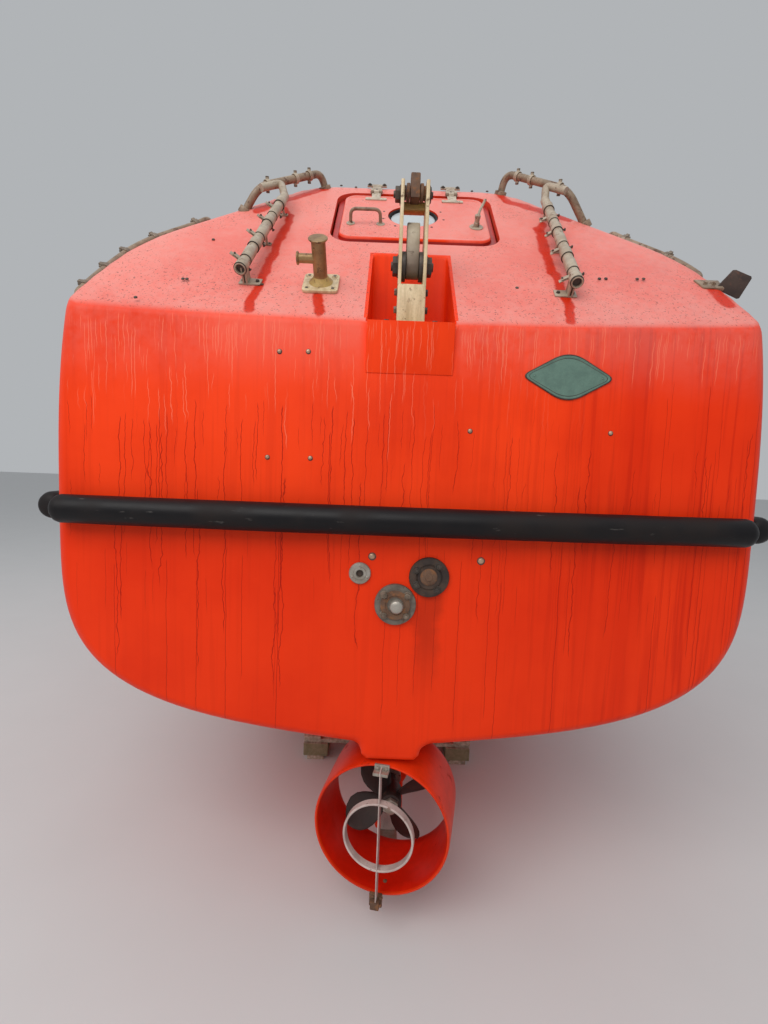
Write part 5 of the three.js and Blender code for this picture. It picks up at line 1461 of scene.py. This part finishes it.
def makeAftHatch():
    place = aftHatchPlace
    panel = makeLidPanel('aft_hatch', aftHatch, place)
    hole = bmesh.new()
    addRod(hole, (port['x'], port['y'], -0.06), (port['x'], port['y'], 0.06), port['radius'], 0, place, 72)
    cutWith(panel, hole)
    makeHinges('aft_hatch', 'aftHatch', aftHatch, place)
    makeGrip('hatchGrip', 'aft_hatch', place, -0.281, -0.15, -0.095)
    lever = bmesh.new()
    here = place @ shift(0.27, -0.09, 0.002)
    addTurned(lever, [(0, -0.002), (0.03, -0.002), (0.03, 0.003), (0.027, 0.005), (0.014, 0.006), (0.0125, 0.01),
                      (0.0125, 0.02), (0.0105, 0.022), (0.0105, 0.036), (0.0125, 0.038), (0.0125, 0.05), (0.01, 0.052),
                      (0, 0.052)], here, 28)
    addTube(lever, [(0, -0.01, 0.045), (0.006, 0.012, 0.062), (0.03, 0.052, 0.094)], 0.0058, 0.012, here, 14)
    makePiece(lever, 'hatchLever', rail, body='aft_hatch', nodes=('aft_hatch_lever',))
    middle = place @ shift(port['x'], port['y'], 0)
    r = port['radius']
    makeTurned([(r - 0.014, -0.022), (r + 0.0004, -0.022), (r + 0.0004, -0.004), (r - 0.003, -0.0015),
                (r - 0.008, -0.002), (r - 0.012, -0.006), (r - 0.014, -0.012), (r - 0.014, -0.022)], middle, 72,
               'portGasket', rubber, body='aft_hatch')
    makeTurned([(0, -0.02), (r - 0.013, -0.02), (r - 0.013, -0.012), (0, -0.0112)], middle, 64,
               'portPane', hazyGlassAndSheen, body='aft_hatch', nodes=('aft_hatch_pane',))
    screws = bmesh.new()
    for x, y in onCircle(port['screwRing'], port['screws']):
        addDome(screws, middle @ shift(x, y, 0.002), 0.0062, 0.0032)
    makePiece(screws, 'portScrews', darkBolt, body='aft_hatch')


makeAftHatch()
makeLidPanel('fore_hatch', foreHatch, foreHatchPlace)
makeHinges('fore_hatch', 'foreHatch', foreHatch, foreHatchPlace)
makeGrip('foreGrip', 'fore_hatch', foreHatchPlace, -0.066, 0.066, -0.15)
print('slope hatches made')


# Pieces laid on the canopy's curved side: (y, z) to a point at a height over the skin
def archX(y, z):
    power = form['archPower']
    return along(1, y) * (1 - ((z - form['gunwale']) / form['arch']) ** power) ** (1 / power)


def onSide(side, y, z, level):
    return Vector((side * (archX(y, z) + level), y, z))


sideAxis = {'x': archX(3.2, sideHatch['high'][1] + 0.003) + 0.009, 'z': sideHatch['high'][1] + 0.003}
sideRings = ((-0.27, 0.004), (-0.13, 0.004), (-0.075, 0.003), (-0.06, 0.0), (-0.05, -0.0035), (-0.04, -0.0035),
             (-0.03, 0.0), (-0.018, 0.003), (-0.008, 0.0026), (-0.002, 0.0), (0.0, -0.004), (0.0, -0.028),
             (-0.006, -0.029), (-0.27, -0.029))


def makeSideHatch(word, side):
    (y0, z0), (y1, z1) = sideHatch['low'], sideHatch['high']
    middle = ((y0 + y1) / 2, (z0 + z1) / 2)
    body = 'side_hatch_' + word
    bm = bmesh.new()
    rings = []
    for offset, level in sideRings:
        ring = frameRing(y1 - y0, z1 - z0, sideHatch['corner'], offset, 0, 10)
        rings.append([onSide(side, middle[0] + p.x, middle[1] + p.y, level) for p in ring])
    addRings(bm, rings)
    capEnds(bm)
    bmesh.ops.poke(bm, faces=[f for f in bm.faces if len(f.verts) > 4])
    makePiece(bm, body, orange, body=body, nodes=(body,))
    straps, bars, pins = bmesh.new(), bmesh.new(), bmesh.new()
    ax, az = sideAxis['x'], sideAxis['z']
    mirror = Matrix.Diagonal((side, 1, 1, 1))
    for y in (y0 + 0.14, y1 - 0.14):
        lean = atan2(archX(y, az - 0.14) - archX(y, az - 0.01), 0.13)
        strap = mirror @ shift(archX(y, az) + 0.004, y, az) @ turned('Y', -lean)
        addBlock(straps, (-0.003, -0.021, -0.15), (0.004, 0.021, -0.02), 0.0012, strap)
        addBlock(straps, (-0.003, -0.013, -0.03), (0.004, 0.013, 0.0), 0.0012, strap)
        addRod(straps, (ax, y - 0.013, az), (ax, y + 0.013, az), 0.009, 0.001, mirror)
        for drop in (-0.13, -0.1, -0.06):
            addDome(straps, strap @ shift(0.004, 0, drop) @ turned('Y', pi / 2), 0.006, 0.003)
        for lug in (y - 0.0205, y + 0.0205):
            addBlock(bars, (ax - 0.028, lug - 0.007, az + 0.003), (ax + 0.009, lug + 0.007, az + 0.036), 0.002, mirror)
            addBlock(bars, (ax - 0.008, lug - 0.007, az - 0.009), (ax + 0.009, lug + 0.007, az + 0.01), 0.002, mirror)
        addRod(pins, (ax, y - 0.029, az), (ax, y + 0.029, az), 0.0048, 0.001, mirror, 16)
    # a bar handle and two turn catches near the lower edge
    y, z = middle[0], z0 + 0.11
    onSkin = mirror @ shift(archX(y, z), y, z) @ turned('Y', pi / 2)
    bar = onSkin @ turned('Z', pi / 2)
    addTube(straps, [(-0.085, 0, 0), (-0.082, 0, 0.055), (0.082, 0, 0.055), (0.085, 0, 0)], 0.008, 0.024, bar)
    for x in (-0.085, 0.085):
        addRod(straps, (x, 0, -0.002), (x, 0, 0.008), 0.019, 0.002, bar)
    for dy in (-0.22, 0.22):
        catch = mirror @ shift(archX(y + dy, z - 0.03), y + dy, z - 0.03) @ turned('Y', pi / 2)
        addRod(straps, (0, 0, -0.002), (0, 0, 0.012), 0.024, 0.003, catch)
        addBlock(straps, (-0.05, -0.009, 0.012), (0.02, 0.009, 0.022), 0.004, catch, 3)
    makePiece(straps, 'sideHatchFittings' + word.title(), rail, body=body)
    makePiece(bars, 'sideHatchLugs' + word.title(), railPale)
    makePiece(pins, 'sideHatchPins' + word.title(), darkBolt)


def makeSidePorts(word, side):
    rims, screws = bmesh.new(), bmesh.new()
    z = sidePort['z']
    profile = ((0.104, -0.024), (0.104, 0.004), (0.107, 0.008), (0.118, 0.009), (0.128, 0.006), (0.131, 0.002),
               (0.131, -0.004))
    for y in sidePort['ys']:
        rings = []
        for radius, level in profile:
            circle = onCircle(radius, [k * 360 / 64 for k in range(64)])
            rings.append([onSide(side, y + dy, z + dz, level) for dy, dz in circle])
        addRings(rims, rings)
        for dy, dz in onCircle(0.12, range(18, 360, 36)):
            at = onSide(side, y + dy, z + dz, 0.0085)
            addDome(screws, Matrix.Translation(at) @ turned('Y', side * pi / 2), 0.0048, 0.0026)
    makePiece(rims, 'sidePortRims' + word.title(), rubber)
    makePiece(screws, 'sidePortScrews' + word.title(), bare)


for word, side in (('port', -1), ('starboard', 1)):
    makeSideHatch(word, side)
    makeSidePorts(word, side)
print('sides made')

# Helmsman's cupola: its levels as (height, half width, half length), its windows as half widths, feet and heads
cupola = {'y': 2.7, 'wall': 0.025, 'corner': 4.0,
          'lidWidth': 0.42, 'lidLength': 0.46, 'lidZ': 3.6193, 'lidThick': 0.022,
          'axisY': 2.948, 'axisZ': 3.6373, 'hinge': 0.13, 'gasket': 0.0075, 'gasketOut': 0.003,
          'levels': ((3.24, 0.4635, 0.629), (3.32, 0.455, 0.6185), (3.4, 0.4463, 0.608), (3.455, 0.4402, 0.6005),
                     (3.5, 0.427, 0.583), (3.54, 0.406, 0.558), (3.568, 0.383, 0.533), (3.588, 0.352, 0.5),
                     (3.6, 0.312, 0.456), (3.605, 0.27, 0.41))}
cupolaWindows = (('forward', 0.27, 3.265, 3.43), ('aft', 0.23, 3.275, 3.43), ('port', 0.33, 3.265, 3.43),
                 ('starboard', 0.33, 3.265, 3.43))


def cupolaRing(width, length, count=112):
    ring = []
    for k in range(count):
        a = 2 * pi * (k + 0.5) / count
        scale = (abs(cos(a)) ** cupola['corner'] + abs(sin(a)) ** cupola['corner']) ** (-1 / cupola['corner'])
        ring.append((width * cos(a) * scale, cupola['y'] + length * sin(a) * scale))
    return ring


def roofZ(x, y):
    power, share = form['archPower'], min(abs(x) / along(1, y), 0.98)
    high = softMin((1 - share ** power) ** (1 / power), form['flatLevel'] - form['flatLean'] * share, form['flatBlend'])
    return form['gunwale'] + form['arch'] * high


def cupolaWall(word, across, z):
    t = (z - 3.08) / 0.38
    width, length, power = 0.48 - 0.04 * t, 0.65 - 0.05 * t, cupola['corner']
    if word in ('forward', 'aft'):
        reach = length * (1 - min(abs(across) / width, 0.99) ** power) ** (1 / power)
        return Vector((across, cupola['y'] + (reach if word == 'forward' else -reach), z))
    reach = width * (1 - min(abs(across) / length, 0.99) ** power) ** (1 / power)
    return Vector((reach if word == 'starboard' else -reach, cupola['y'] + across, z))


# A closed loop of round cord, such as a gasket
def addLoop(bm, points, radius):
    count = len(points)
    middle, rings = sum(points, Vector()) / count, []
    for i, at in enumerate(points):
        way = (points[(i + 1) % count] - points[i - 1]).normalized()
        out = (at - middle - way * (at - middle).dot(way)).normalized()
        rings.append(circleAt(at, out, way.cross(out), radius, 12))
    addRings(bm, rings + [rings[0]])


def makeCupola():
    bm = bmesh.new()
    rings = []
    for spread, level in ((0.045, -0.004), (0.045, 0.004), (0.041, 0.008), (0.026, 0.009), (0.014, 0.013),
                          (0.006, 0.022), (0.001, 0.036)):
        rings.append([Vector((x, y, roofZ(x, y) + level)) for x, y in cupolaRing(0.472 + spread, 0.64 + spread)])
    for z, width, length in cupola['levels']:
        rings.append([Vector((x, y, z)) for x, y in cupolaRing(width, length)])
    addRings(bm, rings)
    top = [e for e in bm.edges if e.is_boundary and e.verts[0].co.z > 3.55]
    bmesh.ops.holes_fill(bm, edges=top, sides=0)
    piece = makePiece(bm, 'cupola', orange, nodes=('cupola',))
    thicken(piece, cupola['wall'])
    holes, gaskets = bmesh.new(), bmesh.new()
    grow = cupola['gasketOut']
    for word, half, low, high in cupolaWindows:
        outline = roundedOutline(2 * half, high - low, 0.04)
        centreZ = (low + high) / 2
        sign = 1 if word in ('forward', 'starboard') else -1
        turn, near = (turned('Z', pi / 2), 0.4) if word in ('forward', 'aft') else (flat, 0.3)
        inner, outer = sorted((sign * near, sign * 0.9))
        addPlate(holes, outline, inner, outer, 0, shift(0, cupola['y'], centreZ) @ turn @ sideways)
        wide, tall = 1 + grow / half, 1 + 2 * grow / (high - low)
        addLoop(gaskets, [cupolaWall(word, x * wide, centreZ + z * tall) for x, z in outline], cupola['gasket'])
    addBlock(holes, (-0.18, cupola['y'] - 0.2, 3.5), (0.18, cupola['y'] + 0.2, 3.7), 0)
    cutWith(piece, holes)
    makePiece(gaskets, 'cupolaGaskets', rubber)
    rim = bmesh.new()
    width, length = cupola['lidWidth'] - 0.02, cupola['lidLength'] - 0.02
    place = shift(0, cupola['y'], 0)
    addRings(rim, [frameRing(width, length, 0.04, offset, level) for offset, level in
                   ((-0.02, 3.575), (-0.02, 3.6165), (-0.018, 3.619), (-0.002, 3.619), (0.0, 3.6165), (0.002, 3.607),
                    (0.012, 3.6052), (0.012, 3.6))], place)
    axisY, axisZ = cupola['axisY'], cupola['axisZ']
    for side in (-1, 1):
        for end in (-1, 1):
            x = side * cupola['hinge'] + end * 0.0205
            addBlock(rim, (x - 0.007, axisY - 0.009, 3.595), (x + 0.007, axisY + 0.024, axisZ + 0.009), 0.003)
    makePiece(rim, 'cupolaCoaming', hatchOrange)
    lid = bmesh.new()
    base, thick = cupola['lidZ'], cupola['lidThick']
    addRings(lid, [frameRing(cupola['lidWidth'], cupola['lidLength'], 0.05, offset, base + level) for offset, level in
                   ((-0.16, thick), (-0.06, thick - 0.0005), (-0.05, thick - 0.0035), (-0.042, thick - 0.0035),
                    (-0.034, thick - 0.0005), (-0.01, thick), (-0.003, thick - 0.002), (0.0, thick - 0.006),
                    (0.0, 0.002), (-0.002, 0.0), (-0.16, 0.0))], place)
    capEnds(lid)
    makePiece(lid, 'cupolaLid', hatchOrange, body='cupola_lid', nodes=('cupola_lid',))
    straps, pins = bmesh.new(), bmesh.new()
    y, top = cupola['y'], base + thick
    for x in (-cupola['hinge'], cupola['hinge']):
        addBlock(straps, (x - 0.013, y + 0.13, top - 0.001), (x + 0.013, y + 0.235, top + 0.004), 0.001)
        addBlock(straps, (x - 0.013, y + 0.225, base + 0.012), (x + 0.013, axisY, top + 0.004), 0.002)
        addRod(straps, (x - 0.013, axisY, axisZ), (x + 0.013, axisY, axisZ), 0.009, 0.001)
        for dy in (0.15, 0.19):
            addDome(straps, shift(x, y + dy, top + 0.004), 0.005, 0.0025)
        addRod(pins, (x - 0.03, axisY, axisZ), (x + 0.03, axisY, axisZ), 0.0048, 0.001)
    makePiece(straps, 'lidStraps', railPale, body='cupola_lid')
    makePiece(pins, 'lidPins', darkBolt)


makeCupola()
print('cupola made')

# The running gear turns with the steering, about the stock
gear = {'shaftZ': 0.427, 'stockY': 0.2, 'turn': radians(-11.5), 'rear': -0.2}
steering = shift(0, gear['stockY'], gear['shaftZ']) @ turned('Z', gear['turn'])
ductWay = turned('X', -pi / 2)


# Keel and deadwood under the hull, with the shaft's boss
def makeKeel():
    bm, post = bmesh.new(), bmesh.new()
    z = form['keelZ']
    addBlock(post, (-0.032, 0.368, z - 0.001), (0.032, 0.38, 0.345), 0.003)
    for x in (-0.02, 0.0, 0.02):
        addBlock(post, (x - 0.0025, 0.3655, z + 0.012), (x + 0.0025, 0.369, 0.33), 0.001)
    makePiece(post, 'sternPostPlate', guardPaint)
    profile = [(0.375, z), (5.0, z), (5.3, z + 0.045), (5.62, z + 0.125), (5.9, 0.36), (6.22, 0.56), (6.5, 0.76),
               (6.5, 1.0), (0.375, 1.0)]
    addPlate(bm, profile, -0.06, 0.06, 0.014, sideways)
    addTurned(bm, [(0, 0.3755), (0.068, 0.3755), (0.074, 0.378), (0.078, 0.384), (0.078, 0.9), (0.072, 0.97),
                   (0.058, 1.1), (0, 1.12)], shift(0, 0, gear['shaftZ']) @ ductWay, 40)
    makePiece(bm, 'keel', orange)


# Nozzle, its stock and pintle
def makeNozzle():
    ring = bmesh.new()
    profile = [(0.2365, 0.0), (0.2375, -0.1), (0.2425, -0.165), (0.247, -0.192), (0.2495, -0.1985), (0.2525, -0.2),
               (0.256, -0.1985), (0.2585, -0.193), (0.26, -0.18), (0.2615, -0.1), (0.263, 0.0), (0.263, 0.05),
               (0.262, 0.075), (0.259, 0.087), (0.2545, 0.09), (0.249, 0.088), (0.244, 0.078), (0.2395, 0.05),
               (0.2365, 0.0)]
    addTurned(ring, profile, ductWay, 96)
    for face in ring.faces:
        at = face.calc_center_median()
        # the inside takes the darker red, which is partly painted shade
        if hypot(at.x, at.z) < 0.248:    # the inside
            face.material_index = 1
    bmesh.ops.transform(ring, matrix=steering, verts=ring.verts)
    makePiece(ring, 'nozzleDuct', duct, body='nozzle', nodes=('steering_nozzle',), extra=(shadedDuctInside,))
    stock = bmesh.new()
    addRod(stock, (0, 0, 0.255), (0, 0, 0.328), 0.025, 0.001, steering)
    addBlock(stock, (-0.045, -0.06, 0.25), (0.045, 0.06, 0.267), 0.004, steering)
    addTurned(stock, [(0.024, 0.266), (0.04, 0.266), (0.033, 0.27), (0.028, 0.277), (0.024, 0.285)], steering, 32)
    addRod(stock, (0, 0, -0.281), (0, 0, -0.252), 0.015, 0.001, steering)
    for x, y in ((-0.03, -0.042), (-0.03, 0.042), (0.03, -0.042), (0.03, 0.042)):
        addHexBolt(stock, steering @ shift(x, y, 0.267), 0.014, 0.006, 0.01)
    makePiece(stock, 'nozzleStock', bare, body='nozzle')
    guard = bmesh.new()
    rear = gear['rear'] - 0.0003
    section = ((0.124, 0.042), (0.126, 0.044), (0.13, 0.044), (0.132, 0.042), (0.132, 0.014), (0.13, 0.012),
               (0.126, 0.012), (0.124, 0.014), (0.124, 0.042))
    addTurned(guard, [(radius, rear - back) for radius, back in section], steering @ ductWay, 80)
    addBlock(guard, (-0.0018, rear - 0.044, -0.252), (0.0018, rear - 0.008, 0.255), 0.0008, steering)
    makePiece(guard, 'nozzleGuard', guardPaint, body='nozzle', nodes=('nozzle_guard',))
    lugs = bmesh.new()
    aft = turned('X', pi / 2)
    addBlock(lugs, (-0.028, rear - 0.04, 0.234), (0.028, rear, 0.246), 0.002, steering)
    addBlock(lugs, (-0.028, rear - 0.01, 0.234), (0.028, rear, 0.262), 0.002, steering)
    for x in (-0.016, 0.016):
        addHexBolt(lugs, steering @ shift(x, rear - 0.01, 0.252) @ aft, 0.013, 0.006, 0.008)
    makePiece(lugs, 'guardTopLug', bare, body='nozzle')
    foot = bmesh.new()
    addBlock(foot, (-0.03, rear - 0.012, -0.297), (0.019, rear - 0.001, -0.247), 0.002, steering)
    addBlock(foot, (-0.022, rear - 0.036, -0.292), (0.012, rear - 0.01, -0.262), 0.003, steering)
    for x in (-0.015, 0.015):
        addHexBolt(foot, steering @ shift(x, rear - 0.012, -0.255) @ aft, 0.012, 0.005, 0.008)
    addRod(foot, (-0.02, rear - 0.026, -0.276), (0.02, rear - 0.026, -0.276), 0.006, 0.001, steering, 12)
    addDome(foot, steering @ shift(0.018, -0.15, -0.2415), 0.0085, 0.006)
    makePiece(foot, 'guardFootLug', rusty, body='nozzle')


# Blades: where they stand in degrees, and their chords as radius, rear end and front end
propeller = {'blades': (116, 206, 296, 26), 'root': 0.036, 'tip': 0.2045,
             'rootPitch': radians(44), 'tipPitch': radians(26),
             'chords': ((0.032, -0.028, 0.028), (0.06, -0.053, 0.041), (0.1, -0.07, 0.058), (0.13, -0.0745, 0.0635),
                        (0.16, -0.07, 0.0575), (0.185, -0.056, 0.035), (0.198, -0.041, 0.009),
                        (0.2045, -0.031, -0.018))}


def chordAt(radius):
    rows = propeller['chords']
    for (r0, a0, b0), (r1, a1, b1) in zip(rows, rows[1:]):
        if radius <= r1:
            t = (radius - r0) / (r1 - r0)
            return a0 + (a1 - a0) * t, b0 + (b1 - b0) * t
    return rows[-1][1:]


def makePropeller():
    bm = bmesh.new()
    spot = shift(0, gear['stockY'], gear['shaftZ'])
    addTurned(bm, [(0.03, -0.052), (0.041, -0.05), (0.0445, -0.044), (0.046, -0.02), (0.046, 0.054), (0.044, 0.06),
                   (0.026, 0.062), (0.025, 0.066), (0.025, 0.129), (0, 0.129)], spot @ ductWay, 48)
    low, high = propeller['root'], propeller['tip']
    for degrees in propeller['blades']:
        place = spot @ turned('Y', radians(90 - degrees))
        rings = []
        for i in range(25):
            share = i / 24
            radius = low + (high - low) * (1 - (1 - share) ** 1.5)
            back, front = chordAt(radius)
            pitch = propeller['rootPitch'] + (propeller['tipPitch'] - propeller['rootPitch']) * share
            thick = 0.0065 - 0.0042 * share
            ring = []
            for k in range(28):
                a = 2 * pi * k / 28
                c = (back + front) / 2 + (front - back) / 2 * cos(a)
                t = thick * sin(a) * (1.1 - 0.3 * cos(a)) + 0.01 * share * (1 - cos(a) ** 2)
                ring.append(Vector((c * cos(pitch) - t * sin(pitch), c * sin(pitch) + t * cos(pitch), radius)))
            rings.append(ring)
        addRings(bm, rings, place)
    capEnds(bm)
    makePiece(bm, 'propeller', bronze, body='propeller', nodes=('propeller',))
    nut = bmesh.new()
    addTurned(nut, [(0, -0.086), (0.012, -0.085), (0.021, -0.081), (0.0235, -0.076), (0.024, -0.066)],
              spot @ ductWay, 32)
    addRod(nut, (0, -0.068, 0), (0, -0.048, 0), 0.033, 0.002, spot, 6)
    makePiece(nut, 'propellerNut', bare, body='propeller')


makeKeel()
makeNozzle()
makePropeller()
print('running gear made')

# Pallets: boards and blocks, each a little off its place, with nail heads
pallet = {'width': 1.0, 'length': 1.2, 'height': 0.144, 'board': 0.022, 'block': 0.0725, 'ys': (1.75, 4.65)}


def makePallet(name, y, seed):
    boards, nails = bmesh.new(), bmesh.new()
    halfW, halfL = pallet['width'] / 2, pallet['length'] / 2
    board, block, high = pallet['board'], pallet['block'], pallet['height']
    place = shift(0, y, 0)
    rows = [other * (halfL - block) for other in (-1, 0, 1)]

    def off(i, size=0.0025):
        return noise.noise(Vector((i * 1.7 + seed * 9.1, seed * 3.3, 0.5))) * size
    for i, row in enumerate((-1, 0, 1)):
        x = row * (halfW - block)
        addBlock(boards, (x - 0.05 + off(i), -halfL, 0), (x + 0.05 + off(i), halfL, board), 0.0025, place)
        for j, by in enumerate(rows):
            addBlock(boards, (x - block - abs(off(3 * i + j)), by - block, board),
                     (x + block - 0.001, by + block, high - 2 * board), 0.0035, place)
    for j, by in enumerate(rows):
        by += off(j + 20)
        addBlock(boards, (-halfW, by - 0.06, high - 2 * board), (halfW, by + 0.06, high - board), 0.0025, place)
    for i in range(5):
        x = -halfW + 0.05 + (pallet['width'] - 0.1) * i / 4
        slip = off(i + 40, 0.004)
        slip = min(max(slip, -0.002 if i else 0), 0.002 if i < 4 else 0)
        near = -halfL + abs(off(i + 60, 0.008))
        addBlock(boards, (x - 0.05 + slip, near, high - board), (x + 0.05 + slip, halfL, high), 0.0025, place)
        for by in rows:
            for dx, dy in ((-0.022, -0.03), (0.022, 0.03), (-0.018, 0.028)):
                addDome(nails, place @ shift(x + dx, by + dy, high - 0.0006), 0.0042, 0.0012)
    makePiece(boards, name + 'Boards', wood, nodes=(name,))
    makePiece(nails, name + 'Nails', darkBolt)


for number, (name, y) in enumerate(zip(('pallet_aft', 'pallet_fore'), pallet['ys'])):
    makePallet(name, y, number + 1)
print('pallets made')

# Small dark screws left in the aft slope, at (x, distance up the slope)
slopeScrews = ((-0.266, 1.246), (0.309, 1.25), (-0.34, 1.262), (0.385, 1.255), (0.724, 0.358), (0.749, 0.36),
               (0.869, 0.362), (0.894, 0.364), (0.396, 0.268), (-0.822, 0.23), (-0.836, 0.229), (-0.955, 0.073),
               (-0.812, 0.583), (-0.546, 0.221))


def makeSlopeScrews():
    bm = bmesh.new()
    for x, s in slopeScrews:
        rise = camberAt(x, s * cos(form['aftAngle'])) * sin(form['aftAngle'])
        addDome(bm, aftSlope @ shift(x, s, rise - 0.0005), 0.0065, 0.003)
    makePiece(bm, 'slopeScrews', darkBolt)


makeSlopeScrews()

# camera and light, at the photograph's view

view = {'at': (-0.0685, -1.78 + aftY, 1.78), 'pitch': radians(-5.2), 'roll': radians(2.1), 'lens': 36 * 510 / 1024}
camera = addObject('camera', bpy.data.cameras.new('camera'))
camera.data.lens = view['lens']
camera.data.clip_start = 0.05
camera.matrix_world = Matrix.Translation(view['at']) @ turned('X', pi / 2 + view['pitch']) @ turned('Z', view['roll'])
bpy.context.scene.camera = camera
bpy.context.scene.view_settings.view_transform = 'Standard'


def addLamp(name, at, target, size, power, colour):
    lamp = bpy.data.lights.new(name, 'AREA')
    lamp.shape = 'RECTANGLE'
    lamp.size, lamp.size_y = size
    lamp.energy = power
    lamp.color = colour
    aim = Vector(target) - Vector(at)
    addObject(name, lamp).matrix_world = Matrix.Translation(at) @ aim.to_track_quat('-Z', 'Y').to_matrix().to_4x4()


addLamp('skyPanel', (0, -2.0, 8.5), (0, -1.0, 0), (11, 13), 208, (0.95, 0.98, 1))
addLamp('asternPanel', (-3.0, -9.5, 7.5), (0, -3.4, 1.6), (9, 5), 525, (1, 0.98, 0.95))
world = bpy.data.worlds.new('studio')
world.use_nodes = True
world.node_tree.nodes['Background'].inputs[0].default_value = (0.8, 0.83, 0.86, 1)
world.node_tree.nodes['Background'].inputs[1].default_value = 0.55
bpy.context.scene.world = world

floorTool = bmesh.new()
bmesh.ops.create_grid(floorTool, x_segments=1, y_segments=1, size=40)
floor = addObject('floor', bpy.data.meshes.new('floor'))
floorTool.to_mesh(floor.data)
floorTool.free()
floorFinish, floorShader, floorWhere = startMaterial('floorGrey', 0.9)
wire(floorShader, colour=blendOf(noiseOf(floorWhere, 2.0), (0.6, 0.6, 0.6), (0.63, 0.63, 0.63)))
floor.data.materials.append(floorFinish)

dress(['keel_shoe', 'stern_tube'], bare)
dress(['seat_liner'], linerCream)
dress(['engine_block'], engineGreen)
dress([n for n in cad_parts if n.startswith(('cupola_pane', 'side_pane'))], glass)
